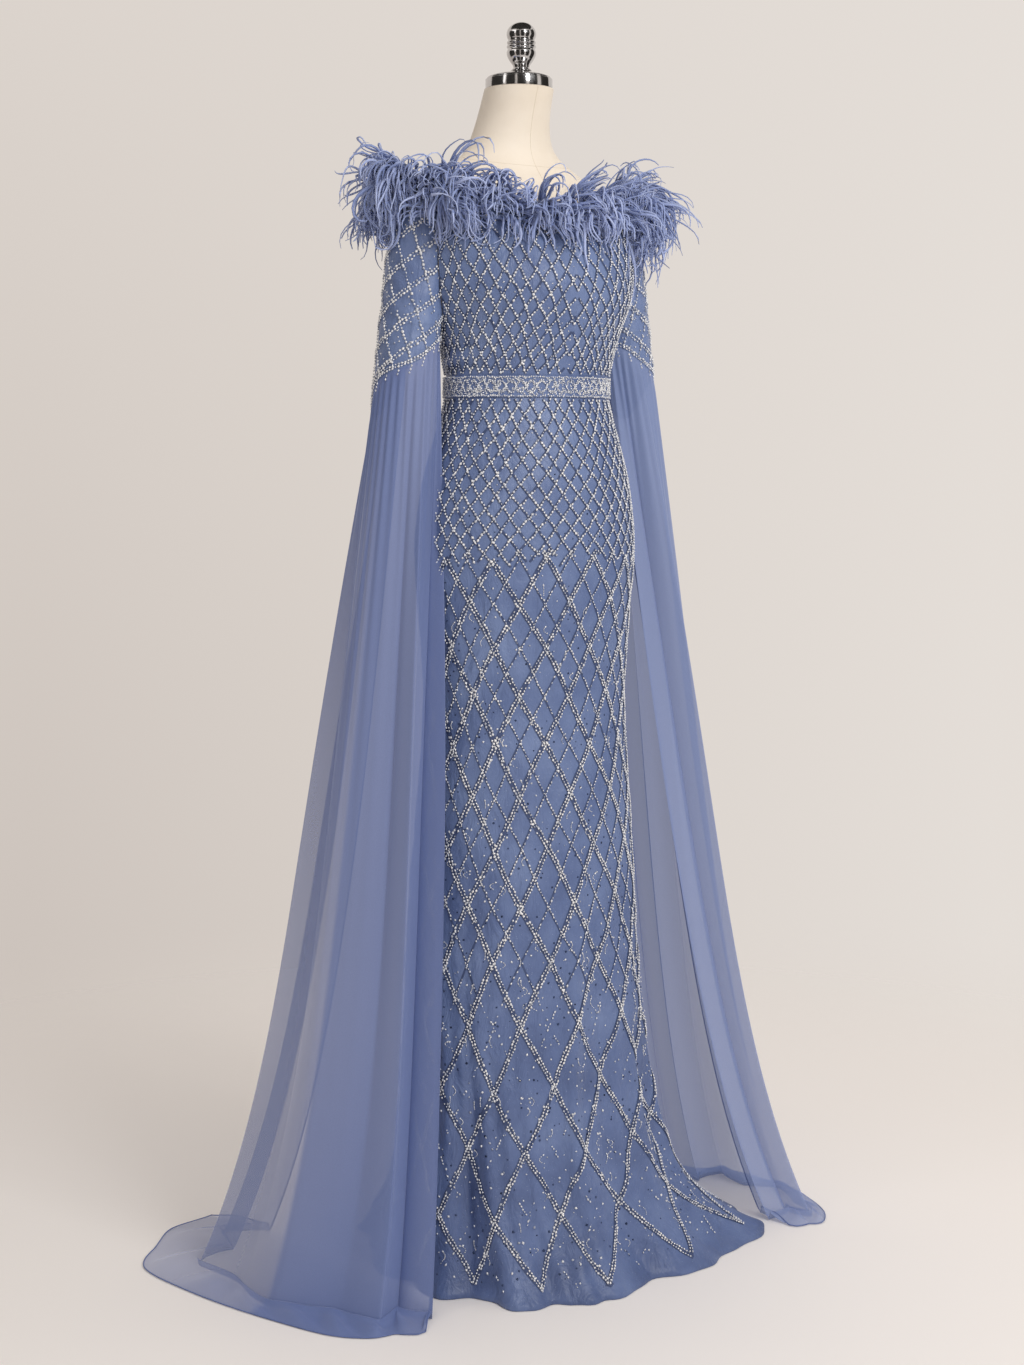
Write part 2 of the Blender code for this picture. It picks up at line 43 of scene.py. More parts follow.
# The shape that the gown and its form share. Metres, front towards -Y, wearer's left +X.
bodyShape = {
    # height, wearer's left, wearer's right, front, back, middle in Y
    "rows": (
        (0.000, 0.358, 0.215, 0.220, 0.300, 0.000),
        (0.018, 0.330, 0.208, 0.205, 0.280, 0.000),
        (0.045, 0.296, 0.203, 0.190, 0.258, 0.000),
        (0.090, 0.252, 0.198, 0.172, 0.228, 0.000),
        (0.150, 0.224, 0.194, 0.155, 0.205, 0.000),
        (0.240, 0.196, 0.188, 0.142, 0.185, 0.000),
        (0.360, 0.179, 0.180, 0.130, 0.168, 0.000),
        (0.520, 0.168, 0.172, 0.120, 0.152, 0.000),
        (0.632, 0.162, 0.164, 0.113, 0.138, 0.000),
        (0.800, 0.152, 0.152, 0.102, 0.120, 0.000),
        (0.914, 0.158, 0.158, 0.105, 0.124, 0.000),
        (1.020, 0.166, 0.166, 0.110, 0.123, 0.000),
        (1.106, 0.156, 0.156, 0.108, 0.113, 0.000),
        (1.164, 0.140, 0.140, 0.101, 0.102, 0.000),
        (1.200, 0.128, 0.128, 0.096, 0.095, 0.000),
        (1.2435, 0.119, 0.119, 0.092, 0.092, 0.000),
        (1.280, 0.125, 0.125, 0.100, 0.093, 0.000),
        (1.306, 0.130, 0.130, 0.108, 0.095, 0.000),
        (1.333, 0.140, 0.140, 0.117, 0.098, 0.001),
        (1.355, 0.149, 0.149, 0.124, 0.100, 0.002),
        (1.381, 0.157, 0.157, 0.127, 0.101, 0.004),
        (1.410, 0.162, 0.162, 0.123, 0.100, 0.007),
        (1.445, 0.164, 0.164, 0.112, 0.098, 0.012),
        (1.480, 0.160, 0.160, 0.098, 0.092, 0.019),
        (1.500, 0.153, 0.153, 0.088, 0.086, 0.024),
        (1.515, 0.141, 0.141, 0.080, 0.079, 0.029),
        (1.530, 0.122, 0.122, 0.072, 0.072, 0.034),
        (1.547, 0.099, 0.099, 0.064, 0.065, 0.040),
        (1.560, 0.081, 0.081, 0.059, 0.060, 0.043),
        (1.575, 0.068, 0.068, 0.056, 0.056, 0.044),
        (1.595, 0.060, 0.060, 0.054, 0.054, 0.041),
        (1.619, 0.055, 0.055, 0.053, 0.053, 0.034),
        (1.653, 0.052, 0.052, 0.052, 0.052, 0.021),
    ),
    "waist": 1.2435,
    "neckline": 1.500,
    "neckTop": 1.653,
    "formBottom": 0.860,
    "armpit": 1.3205,
    "foldStart": 0.62,
    "foldDepth": 0.0085,
    "folds": ((11, 0.6, 1.0), (5, 1.9, 0.5)),  # count round the hem, phase, share of the depth
    "creaseLean": 0.10,
    "sweepStart": 0.20,
    "sweepDepth": 0.030,
    "sweepAngle": 1.05,
    "sweepWidth": 0.40,
}

# Middle and radii of the sleeve, and its lower edge.
armShape = {
    # height, distance from the middle of the body, middle in Y, radius in X, radius in Y
    "rows": (
        (1.180, 0.191, 0.022, 0.0420, 0.0440),
        (1.250, 0.184, 0.022, 0.0415, 0.0440),
        (1.330, 0.1745, 0.022, 0.0410, 0.0440),
        (1.380, 0.168, 0.022, 0.0410, 0.0440),
        (1.446, 0.158, 0.024, 0.0410, 0.0450),
        (1.500, 0.148, 0.027, 0.0385, 0.0440),
        (1.545, 0.141, 0.030, 0.0350, 0.0420),
    ),
    # degrees round the arm from its inside by the front, height of the edge
    "edge": (
        (0.0, 1.300),
        (52.0, 1.302),
        (100.0, 1.277),
        (180.0, 1.250),
        (240.0, 1.203),
        (285.0, 1.240),
        (308.0, 1.275),
        (360.0, 1.300),
    ),
    "topRise": 0.035,
}


def tableAt(rows, at):
    # a table's columns at any values of its first one, on a smooth curve
    rows = np.asarray(rows, float)
    keys, values = rows[:, 0], rows[:, 1:]
    at = np.clip(np.asarray(at, float), keys[0], keys[-1])
    last = len(keys) - 1
    low = np.clip(np.searchsorted(keys, at, side="right") - 1, 0, last - 1)
    high = low + 1
    before, after = np.maximum(low - 1, 0), np.minimum(low + 2, last)
    span = keys[high] - keys[low]
    share = ((at - keys[low]) / span)[..., None]
    slopeLow = (values[high] - values[before]) * (span / (keys[high] - keys[before]))[..., None]
    slopeHigh = (values[after] - values[low]) * (span / (keys[after] - keys[low]))[..., None]
    bend = share * share * (3 - 2 * share)
    return (
        values[low] + (values[high] - values[low]) * bend
        + slopeLow * share * (1 - share) ** 2
        - slopeHigh * share * share * (1 - share)
    )


# Soft troughs pressed into the lower skirt: angle and width in degrees, top, bottom, depth.
skirtCreases = (
    (-72, 7, 0.38, 0.00, 0.006),
    (-52, 6, 0.30, 0.03, 0.009),
    (-35, 5, 0.42, 0.04, 0.007),
    (-14, 6, 0.22, 0.02, 0.006),
    (4, 5, 0.34, 0.05, 0.006),
    (21, 6, 0.48, 0.03, 0.009),
    (38, 5, 0.36, 0.02, 0.010),
    (52, 5, 0.28, 0.02, 0.012),
    (70, 7, 0.33, 0.00, 0.008),
    (96, 8, 0.40, 0.00, 0.009),
    (124, 7, 0.30, 0.00, 0.008),
    (147, 8, 0.42, 0.00, 0.010),
    (172, 7, 0.34, 0.00, 0.008),
    (-160, 8, 0.45, 0.00, 0.010),
    (-133, 7, 0.32, 0.00, 0.008),
    (-104, 8, 0.41, 0.00, 0.008),
)


def skirtRelief(height, angle):
    # how far folds, creases and the sweep of the hem stand out from the plain skirt
    shape = bodyShape
    depth = shape["foldDepth"] * np.maximum(0, 1 - height / shape["foldStart"]) ** 1.6
    wave = sum(share * np.cos(count * angle + phase) for count, phase, share in shape["folds"])
    off = (angle - shape["sweepAngle"]) / shape["sweepWidth"]
    sweep = shape["sweepDepth"] * np.maximum(0, 1 - height / shape["sweepStart"]) ** 3 * np.exp(-off ** 2)
    relief = depth * wave + sweep
    for middle, width, top, bottom, trough in skirtCreases:
        lean = np.radians(middle) + shape["creaseLean"] * np.sin(7 * height + middle)
        away = np.mod(angle - lean + math.pi, 2 * math.pi) - math.pi
        along = np.clip((top - height) / (top - bottom), 0, 1)
        swell = np.sin(math.pi * np.clip(along, 0, 1) ** 0.7 * 0.94) * (height < top)
        relief = relief - trough * swell * np.exp(-(away / math.radians(width)) ** 2)
    return relief


# Shallow ripples of the lower skirt, finer than the solids carry
skirtRipple = {
    "top": 0.62,
    "depth": 0.0048,
    "waves": 15,
    "fineWaves": 31,
    "fineShare": 0.45,
}


def rippleAt(height, angle):
    # the inner sines let the ripples wander, so that no two are alike
    ripple = skirtRipple
    fade = np.clip(1 - height / ripple["top"], 0, 1) ** 0.8
    wave = np.sin(ripple["waves"] * angle + 2.4 * np.sin(5.5 * height) + 1.7 * np.sin(3 * angle))
    fine = np.sin(ripple["fineWaves"] * angle + 3.0 * np.sin(7 * height + 2 * angle) + 1.0)
    return ripple["depth"] * fade * (wave + ripple["fineShare"] * fine)


def bodyAt(height, angle, out=0.0):
    # points round the body: angle 0 is the front, a quarter turn the wearer's left
    height, angle = np.broadcast_arrays(np.asarray(height, float), np.asarray(angle, float))
    left, right, front, back, middle = np.moveaxis(tableAt(bodyShape["rows"], height), -1, 0)
    side = np.where(np.sin(angle) >= 0, left, right)
    depth = np.where(np.cos(angle) >= 0, front, back)
    wrapped = np.mod(angle + math.pi, 2 * math.pi) - math.pi
    grow = skirtRelief(height, wrapped) + rippleAt(height, angle) + out
    return np.stack([
        (side + grow) * np.sin(angle),
        middle - (depth + grow) * np.cos(angle),
        height,
    ], -1)


def armAt(side, height, turn, out=0.0):
    # points round a sleeve: turn 0 faces the body, 90 the front and 180 outwards
    height, turn = np.broadcast_arrays(np.asarray(height, float), np.asarray(turn, float))
    away, middle, radiusX, radiusY = np.moveaxis(tableAt(armShape["rows"], height), -1, 0)
    turn = np.radians(turn)
    return np.stack([
        side * (away - (radiusX + out) * np.cos(turn)),
        middle - (radiusY + out) * np.sin(turn),
        height,
    ], -1)


def unit(vectors):
    length = np.linalg.norm(vectors, axis=-1, keepdims=True)
    return vectors / np.maximum(length, 1e-9)


def meshFrom(name, points, faces, material, smooth=True):
    points = np.ascontiguousarray(points, np.float32).reshape(-1, 3)
    mesh = bpy.data.meshes.new(name)
    mesh.vertices.add(len(points))
    mesh.vertices.foreach_set("co", points.ravel())
    sets = [np.asarray(f, np.int32) for f in faces if len(f)]
    corners = np.concatenate([f.ravel() for f in sets])
    counts = np.concatenate([np.full(len(f), f.shape[1], np.int32) for f in sets])
    mesh.loops.add(len(corners))
    mesh.loops.foreach_set("vertex_index", corners)
    mesh.polygons.add(len(counts))
    mesh.polygons.foreach_set("loop_start", np.concatenate([[0], np.cumsum(counts)[:-1]]).astype(np.int32))
    mesh.update(calc_edges=True)
    mesh.validate()
    mesh.materials.append(material)
    if smooth:
        mesh.shade_smooth()
    piece = bpy.data.objects.new(name, mesh)
    bpy.context.scene.collection.objects.link(piece)
    return piece


def gridFaces(rows, columns, ring=False, flip=False, start=0):
    i, j = np.meshgrid(np.arange(rows - 1), np.arange(columns if ring else columns - 1), indexing="ij")
    k = (j + 1) % columns
    quads = np.stack([
        i * columns + j, (i + 1) * columns + j, (i + 1) * columns + k, i * columns + k,
    ], -1).reshape(-1, 4) + start
    return quads[:, ::-1] if flip else quads


def setShade(piece, values, name="shade"):
    layer = piece.data.attributes.new(name, "FLOAT", "POINT")
    layer.data.foreach_set("value", np.ascontiguousarray(values, np.float32).ravel())


def tubes(paths, radii, sides=3, flat=1.0, seed=5):
    # closed tapering tubes along many paths of equal count: points, quads and end faces
    paths, radii = np.asarray(paths, float), np.asarray(radii, float)
    count, steps, _ = paths.shape
    along = unit(np.gradient(paths, axis=1))
    lean = unit(np.random.default_rng(seed).normal(size=(count, 1, 3)))
    across = unit(np.cross(along, lean))
    other = np.cross(along, across)
    rings = []
    for k in range(sides):
        angle = 2 * math.pi * k / sides
        rings.append(paths + radii[..., None] * (math.cos(angle) * across + flat * math.sin(angle) * other))
    points = np.stack(rings, 2)
    one = gridFaces(steps, sides, ring=True, flip=True)
    size = steps * sides
    starts = (np.arange(count) * size)[:, None, None]
    quads = (one[None] + starts).reshape(-1, 4)
    root = np.arange(sides)[None] + np.arange(count)[:, None] * size
    tip = root + size - sides
    return points.reshape(-1, 3), quads, np.concatenate([root, tip[:, ::-1]])


# Camera, floor and light
cameraView = {
    "azimuth": -33.0,
    "distance": 3.0,
    "height": 1.158,
    "pitch": 6.23,
    "aside": -0.0211,
    "focalPixels": 2130.0,
    "imageHeight": 1365.0,
    "sensor": 36.0,
}


def makeCamera():
    view = cameraView
    turn = math.radians(view["azimuth"])
    right = Vector((math.cos(turn), math.sin(turn), 0))
    ahead = Vector((-math.sin(turn), math.cos(turn), 0))
    data = bpy.data.cameras.new("camera")
    data.sensor_width = view["sensor"]
    data.lens = view["focalPixels"] / view["imageHeight"] * view["sensor"]
    data.clip_end = 50
    camera = bpy.data.objects.new("camera", data)
    bpy.context.scene.collection.objects.link(camera)
    camera.location = right * view["aside"] - ahead * view["distance"] + Vector((0, 0, view["height"]))
    pitch = math.radians(view["pitch"])
    look = ahead * math.cos(pitch) - Vector((0, 0, math.sin(pitch)))
    camera.rotation_euler = look.to_track_quat("-Z", "Y").to_euler()
    bpy.context.scene.camera = camera
    return right, ahead


studio = {
    "wallLeftLow": (0.604, 0.545, 0.502),
    "wallLeftTop": (0.712, 0.655, 0.608),
    "wallRight": (0.775, 0.725, 0.682),
    "wallSpread": (-0.22, 0.22),  # from the left side's colour to the right side's
    "wallClimb": (-0.24, 0.20),  # from the low colour to the top one
    "floor": (0.905, 0.875, 0.852),
    "floorRings": (0.02, 1.0, 2.5),
    "floorFade": (0.75, 2.3),
    "floorDrop": 0.0004,
    # power, and the place to the camera's right, towards the camera and up
    "lamps": {"key": (62.0, (1.9, 2.6, 2.8)), "fill": (10.0, (-2.4, 1.2, 2.5))},
    "lampSize": 1.6,
    "lampAim": 1.15,
    # to the camera's right, towards the camera, half width, half height
    "cards": (
        (-2.00, 0.3, 1.00, 1.00),
        (-1.05, 1.9, 0.62, 1.55),
        (0.35, 2.2, 0.62, 1.55),
        (1.70, 1.4, 0.60, 1.55),
        (2.10, -0.4, 0.80, 1.55),
    ),
    "cardMiddle": 1.62,
    "cardAim": 1.66,
    "overhead": (1.7, 3.3),  # half width and height of the card above
    "cardColour": (0.030, 0.029, 0.028),
}


def newMaterial(name):
    made = bpy.data.materials.new(name)
    made.use_nodes = True
    nodes, links = made.node_tree.nodes, made.node_tree.links
    return made, nodes, links, nodes["Principled BSDF"]


def addNode(nodes, kind, **values):
    node = nodes.new(kind)
    for key, value in values.items():
        if key in node.inputs:
            node.inputs[key].default_value = value
        else:
            setattr(node, key, value)
    return node


def setSockets(node, values):
    for socket, value in values.items():
        node.inputs[socket].default_value = value


def mapRange(nodes, low, high, lowTo=0.0, highTo=1.0, kind="LINEAR"):
    node = addNode(nodes, "ShaderNodeMapRange", interpolation_type=kind)
    setSockets(node, {"From Min": low, "From Max": high, "To Min": lowTo, "To Max": highTo})
    return node


def noiseOn(nodes, links, place, **values):
    # a noise texture laid out by a place socket
    node = addNode(nodes, "ShaderNodeTexNoise", **values)
    links.new(place, node.inputs["Vector"])
    return node


def bumpFrom(nodes, links, texture, strength, distance):
    node = addNode(nodes, "ShaderNodeBump", Strength=strength, Distance=distance)
    links.new(texture.outputs["Fac"], node.inputs["Height"])
    return node


def ramp(nodes, stops):
    node = nodes.new("ShaderNodeValToRGB")
    elements = node.color_ramp.elements
    while len(elements) < len(stops):
        elements.new(0.5)
    for element, (place, colour) in zip(elements, stops):
        element.position = place
        element.color = (*colour, 1)
    return node


def makeWalls(right):
    # the backdrop: darkest low on the left
    world = bpy.data.worlds.new("studio")
    bpy.context.scene.world = world
    world.use_nodes = True
    nodes, links = world.node_tree.nodes, world.node_tree.links
    place = nodes.new("ShaderNodeTexCoord").outputs["Generated"]
    turned = addNode(nodes, "ShaderNodeVectorMath", operation="DOT_PRODUCT")
    turned.inputs[1].default_value = right
    links.new(place, turned.inputs[0])
    spread = mapRange(nodes, *studio["wallSpread"])
    links.new(turned.outputs["Value"], spread.inputs["Value"])
    axes = nodes.new("ShaderNodeSeparateXYZ")
    links.new(place, axes.inputs["Vector"])
    climb = mapRange(nodes, *studio["wallClimb"])
    links.new(axes.outputs["Z"], climb.inputs["Value"])
    leftSide = addNode(nodes, "ShaderNodeMix", data_type="RGBA")
    leftSide.inputs["A"].default_value = (*studio["wallLeftLow"], 1)
    leftSide.inputs["B"].default_value = (*studio["wallLeftTop"], 1)
    links.new(climb.outputs["Result"], leftSide.inputs["Factor"])
    mix = addNode(nodes, "ShaderNodeMix", data_type="RGBA")
    links.new(leftSide.outputs["Result"], mix.inputs["A"])
    mix.inputs["B"].default_value = (*studio["wallRight"], 1)
    links.new(spread.outputs["Result"], mix.inputs["Factor"])
    links.new(mix.outputs["Result"], nodes["Background"].inputs["Color"])


def makeFloor():
    material, nodes, links, shader = newMaterial("studioFloor")
    setSockets(shader, {"Base Color": (*studio["floor"], 1), "Roughness": 0.9})
    place = nodes.new("ShaderNodeTexCoord")
    away = addNode(nodes, "ShaderNodeVectorMath", operation="LENGTH")
    links.new(place.outputs["Object"], away.inputs[0])
    fade = mapRange(nodes, *studio["floorFade"], 1.0, 0.0, "SMOOTHSTEP")
    links.new(away.outputs["Value"], fade.inputs["Value"])
    links.new(fade.outputs["Result"], shader.inputs["Alpha"])
    count = 64
    angles = np.arange(count) * 2 * math.pi / count
    rings = [
        np.stack([radius * np.cos(angles), radius * np.sin(angles), 0 * angles - studio["floorDrop"]], -1)
        for radius in studio["floorRings"]
    ]
    faces = [gridFaces(len(rings), count, ring=True), [np.arange(count)]]
    meshFrom("floor", np.stack(rings), faces, material)


def makeCard(name, corners, material, dims=False):
    # seen in the polished metal only, unless it also takes light off the gown
    card = meshFrom(name, corners, [np.array([[0, 1, 2, 3]])], material)
    card.visible_camera = card.visible_transmission = False
    card.visible_diffuse = card.visible_shadow = dims


def makeCards(right, ahead):
    # dark cards outside the picture, and the first takes light off the left side
    material, nodes, links, shader = newMaterial("darkCard")
    setSockets(shader, {"Base Color": (*studio["cardColour"], 1), "Roughness": 1.0})
    up = Vector((0, 0, 1))
    for k, (aside, toward, wide, tall) in enumerate(studio["cards"]):
        middle = right * aside - ahead * toward + up * studio["cardMiddle"]
        facing = (up * studio["cardAim"] - middle).normalized()
        edge = facing.cross(up).normalized() * wide
        corners = [middle + edge * x + up * tall * z for x, z in ((-1, -1), (1, -1), (1, 1), (-1, 1))]
        makeCard("card" + str(k), [tuple(corner) for corner in corners], material, dims=k == 0)
    half, height = studio["overhead"]
    corners = [(x * half, y * half, height) for x, y in ((-1, -1), (1, -1), (1, 1), (-1, 1))]
    makeCard("cardOverhead", corners, material)


def makeLamps(right, ahead):
    for name, (power, spot) in studio["lamps"].items():
        data = bpy.data.lights.new(name, "AREA")
        data.shape = "SQUARE"
        data.size = studio["lampSize"]
        data.energy = power
        lamp = bpy.data.objects.new(name, data)
        bpy.context.scene.collection.objects.link(lamp)
        lamp.location = right * spot[0] - ahead * spot[1] + Vector((0, 0, spot[2]))
        aim = Vector((0, 0, studio["lampAim"])) - lamp.location
        lamp.rotation_euler = aim.to_track_quat("-Z", "Y").to_euler()


right, ahead = makeCamera()
makeWalls(right)
makeFloor()
makeCards(right, ahead)
makeLamps(right, ahead)
bpy.context.scene.view_settings.view_transform = "Standard"
bpy.context.scene.view_settings.look = "None"
print("camera and studio made")


# Finishes
clothLook = {
    "tones": ((0.22, (0.052, 0.080, 0.190)), (0.50, (0.096, 0.142, 0.300)), (0.80, (0.158, 0.220, 0.405))),
    "roughness": 0.42,
    "sheen": 0.15,
    # flecks: partly the net's own silver, partly painted sparkle standing in for glints
    "fleckSize": 330.0,
    "glintFleckColour": (0.46, 0.53, 0.72),
    "fleckShare": 0.28,
    "paintedHipLight": (0.15, 1.12, -0.04, 0.18),  # painted light, paler towards the hips where the light is stronger: from and to a height, the change of tone there
}


def satinMaterial():
    made, nodes, links, shader = newMaterial("beaded_satin")
    look = clothLook
    place = nodes.new("ShaderNodeTexCoord").outputs["Object"]
    # tone: soft clouds, with painted light that makes it paler towards the hips
    cloud = noiseOn(nodes, links, place, Scale=9.0, Detail=5.0, Roughness=0.6)
    axes = nodes.new("ShaderNodeSeparateXYZ")
    links.new(place, axes.inputs["Vector"])
    hipLight = mapRange(nodes, *look["paintedHipLight"])
    links.new(axes.outputs["Z"], hipLight.inputs["Value"])
    level = addNode(nodes, "ShaderNodeMath", operation="ADD")
    links.new(cloud.outputs["Fac"], level.inputs[0])
    links.new(hipLight.outputs["Result"], level.inputs[1])
    tone = ramp(nodes, look["tones"])
    links.new(level.outputs["Value"], tone.inputs["Fac"])
    # small pale flecks: partly the net's own silver, partly painted sparkle standing in for glints
    fleck = addNode(nodes, "ShaderNodeTexVoronoi", Scale=look["fleckSize"])
    links.new(place, fleck.inputs["Vector"])
    spark = ramp(nodes, ((0.0, (1, 1, 1)), (0.16, (0, 0, 0))))
    links.new(fleck.outputs["Distance"], spark.inputs["Fac"])
    split = nodes.new("ShaderNodeSeparateColor")
    links.new(fleck.outputs["Color"], split.inputs["Color"])
    chosen = addNode(nodes, "ShaderNodeMath", operation="GREATER_THAN")
    links.new(split.outputs["Red"], chosen.inputs[0])
    chosen.inputs[1].default_value = 1 - look["fleckShare"]
    glintFleckMask = addNode(nodes, "ShaderNodeMath", operation="MULTIPLY")
    links.new(spark.outputs["Color"], glintFleckMask.inputs[0])
    links.new(chosen.outputs["Value"], glintFleckMask.inputs[1])
    mix = addNode(nodes, "ShaderNodeMix", data_type="RGBA")
    mix.inputs["B"].default_value = (*look["glintFleckColour"], 1)
    links.new(glintFleckMask.outputs["Value"], mix.inputs["Factor"])
    links.new(tone.outputs["Color"], mix.inputs["A"])
    links.new(mix.outputs["Result"], shader.inputs["Base Color"])
    # weave, and the crumple of cloth that hangs
    weave = noiseOn(nodes, links, place, Scale=700.0, Detail=2.0)
    bump = bumpFrom(nodes, links, weave, 0.35, 0.0006)
    stretched = addNode(nodes, "ShaderNodeMapping", Scale=(1, 1, 0.45))
    links.new(place, stretched.inputs["Vector"])
    crumple = noiseOn(nodes, links, stretched.outputs["Vector"], Scale=42.0, Detail=4.0, Roughness=0.55,
                      Distortion=0.6)
    soft = bumpFrom(nodes, links, crumple, 0.75, 0.008)
    links.new(bump.outputs["Normal"], soft.inputs["Normal"])
    links.new(soft.outputs["Normal"], shader.inputs["Normal"])
    setSockets(shader, {
        "Roughness": look["roughness"],
        "Sheen Weight": look["sheen"],
        "Sheen Tint": (0.6, 0.7, 1.0, 1),
    })
    return made


def beadMaterial(name, dark, light, roughness, metallic):
    # each bead has its own tone and gloss
    made, nodes, links, shader = newMaterial(name)
    each = nodes.new("ShaderNodeNewGeometry").outputs["Random Per Island"]
    brightest = tuple(min(1, c * 1.12) for c in light)
    tone = ramp(nodes, ((0.0, dark), (0.35, light), (1.0, brightest)))
    links.new(each, tone.inputs["Fac"])
    links.new(tone.outputs["Color"], shader.inputs["Base Color"])
    rough = mapRange(nodes, 0.0, 1.0, roughness * 0.6, roughness * 1.5)
    links.new(each, rough.inputs["Value"])
    links.new(rough.outputs["Result"], shader.inputs["Roughness"])
    shader.inputs["Metallic"].default_value = metallic
    return made


def chiffonMaterial(name, opacity, paintedGlow, tones):
    # tone and opacity follow the cloth's density; the glow is painted light, emission standing in for light
    # that comes through the cloth
    made, nodes, links, shader = newMaterial(name)
    place = nodes.new("ShaderNodeTexCoord").outputs["Object"]
    density = addNode(nodes, "ShaderNodeAttribute", attribute_name="shade").outputs["Fac"]
    tone = ramp(nodes, tuple(zip((0.0, 0.5, 1.0), tones)))
    links.new(density, tone.inputs["Fac"])
    # the tone also glows: painted light standing in for light through the cloth
    links.new(tone.outputs["Color"], shader.inputs["Emission Color"])
    weave = noiseOn(nodes, links, place, Scale=900.0, Detail=2.0)
    mottle = addNode(nodes, "ShaderNodeMix", data_type="RGBA", blend_type="MULTIPLY")
    mottle.inputs["Factor"].default_value = 0.25
    links.new(tone.outputs["Color"], mottle.inputs["A"])
    links.new(weave.outputs["Fac"], mottle.inputs["B"])
    links.new(mottle.outputs["Result"], shader.inputs["Base Color"])
    cover = mapRange(nodes, 0.0, 1.0, *opacity)
    links.new(density, cover.inputs["Value"])
    links.new(cover.outputs["Result"], shader.inputs["Alpha"])
    bump = bumpFrom(nodes, links, weave, 0.2, 0.0004)
    links.new(bump.outputs["Normal"], shader.inputs["Normal"])
    setSockets(shader, {
        "Emission Strength": paintedGlow,
        "Roughness": 0.62,
        "Sheen Weight": 0.5,
        "Sheen Roughness": 0.4,
        "Sheen Tint": (0.65, 0.72, 1.0, 1),
    })
    return made


def featherMaterial():
    # painted shade and highlight: dark at the root, where the tuft shades it, pale at the tip, where the
    # light catches it
    made, nodes, links, shader = newMaterial("ostrich_feather")
    depth = addNode(nodes, "ShaderNodeAttribute", attribute_name="shade")
    tone = ramp(nodes, (
        (0.0, (0.050, 0.074, 0.190)),
        (0.35, (0.158, 0.210, 0.425)),
        (0.65, (0.262, 0.332, 0.595)),
        (1.0, (0.460, 0.540, 0.830)),
    ))
    links.new(depth.outputs["Fac"], tone.inputs["Fac"])
    links.new(tone.outputs["Color"], shader.inputs["Base Color"])
    setSockets(shader, {"Roughness": 0.62, "Sheen Weight": 0.6, "Sheen Tint": (0.7, 0.78, 1.0, 1)})
    return made


def cloudedMaterial(name, dark, light, scale, detail):
    # a colour that drifts softly between two tones
    made, nodes, links, shader = newMaterial(name)
    place = nodes.new("ShaderNodeTexCoord").outputs["Object"]
    cloud = noiseOn(nodes, links, place, Scale=scale, Detail=detail)
    tone = ramp(nodes, ((0.3, dark), (0.7, light)))
    links.new(cloud.outputs["Fac"], tone.inputs["Fac"])
    links.new(tone.outputs["Color"], shader.inputs["Base Color"])
    return made, nodes, links, shader, place


def formMaterial():
    made, nodes, links, shader, place = cloudedMaterial(
        "form_cover", (0.780, 0.690, 0.565), (0.860, 0.780, 0.665), 14.0, 4.0)
    weave = noiseOn(nodes, links, place, Scale=1400.0, Detail=1.0)
    bump = bumpFrom(nodes, links, weave, 0.25, 0.0004)
    links.new(bump.outputs["Normal"], shader.inputs["Normal"])
    setSockets(shader, {"Roughness": 0.7, "Sheen Weight": 0.15})
    return made


def plainMaterial(name, dark, light, roughness, metallic=0.0):
    made, nodes, links, shader, place = cloudedMaterial(name, dark, light, 60.0, 3.0)
    setSockets(shader, {"Roughness": roughness, "Metallic": metallic})
    return made


satin = satinMaterial()
silver = beadMaterial("silver_beads", (0.46, 0.50, 0.60), (0.90, 0.92, 0.95), 0.22, 0.30)
duskBeads = beadMaterial("dusk_beads", (0.020, 0.030, 0.075), (0.050, 0.075, 0.160), 0.2, 0.4)
# the left cape hangs in shade: its lighter tones and stronger glow are painted light that comes through the
# cloth
chiffonTonesAndLight = {
    "right": ((0.210, 0.258, 0.450), (0.158, 0.204, 0.400), (0.120, 0.166, 0.352)),
    "left": ((0.215, 0.260, 0.435), (0.185, 0.232, 0.400), (0.152, 0.200, 0.362)),
}
chiffon = {
    "right": chiffonMaterial("chiffon_right", (0.34, 0.97), 0.16, chiffonTonesAndLight["right"]),
    "left": chiffonMaterial("chiffon_left", (0.42, 0.93), 0.38, chiffonTonesAndLight["left"]),
}
plume = featherMaterial()
# dark net thread, which also stands for painted shadow beside the bead rows
shadowThread = plainMaterial("net_thread_shadow", (0.036, 0.056, 0.135), (0.052, 0.080, 0.185), 0.7)
formCover = formMaterial()
chrome = plainMaterial("chrome", (0.60, 0.59, 0.59), (0.66, 0.65, 0.65), 0.12, 1.0)
rolledEdge = plainMaterial("rolled_edge", (0.095, 0.140, 0.330), (0.130, 0.180, 0.390), 0.6)
seamThread = plainMaterial("seam_thread", (0.68, 0.59, 0.46), (0.72, 0.63, 0.50), 0.8)
print("finishes made")


def keep(piece, slot, *nodes):
    # every piece rides the one body; some stand for a solid
    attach(piece, "root")
    if nodes:
        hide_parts(*nodes)
    return piece


# Dress form
formPiece = {
    # how far the form lies inside the gown's outside, under the skirt and above it
    "insetLow": 0.0024,
    "insetHigh": 0.0040,
    "columns": 128,
    "rowStep": 0.008,
    "seamRadius": 0.00032,
    "seamSteps": 90,
    "seamBottom": 1.38,
    "neckSeamFront": 1.545,
    "neckSeamBack": 1.572,
}


def ringCaps(rows, count):
    # the faces that close a stack of rings
    return [np.arange(count)[::-1], (rows - 1) * count + np.arange(count)]


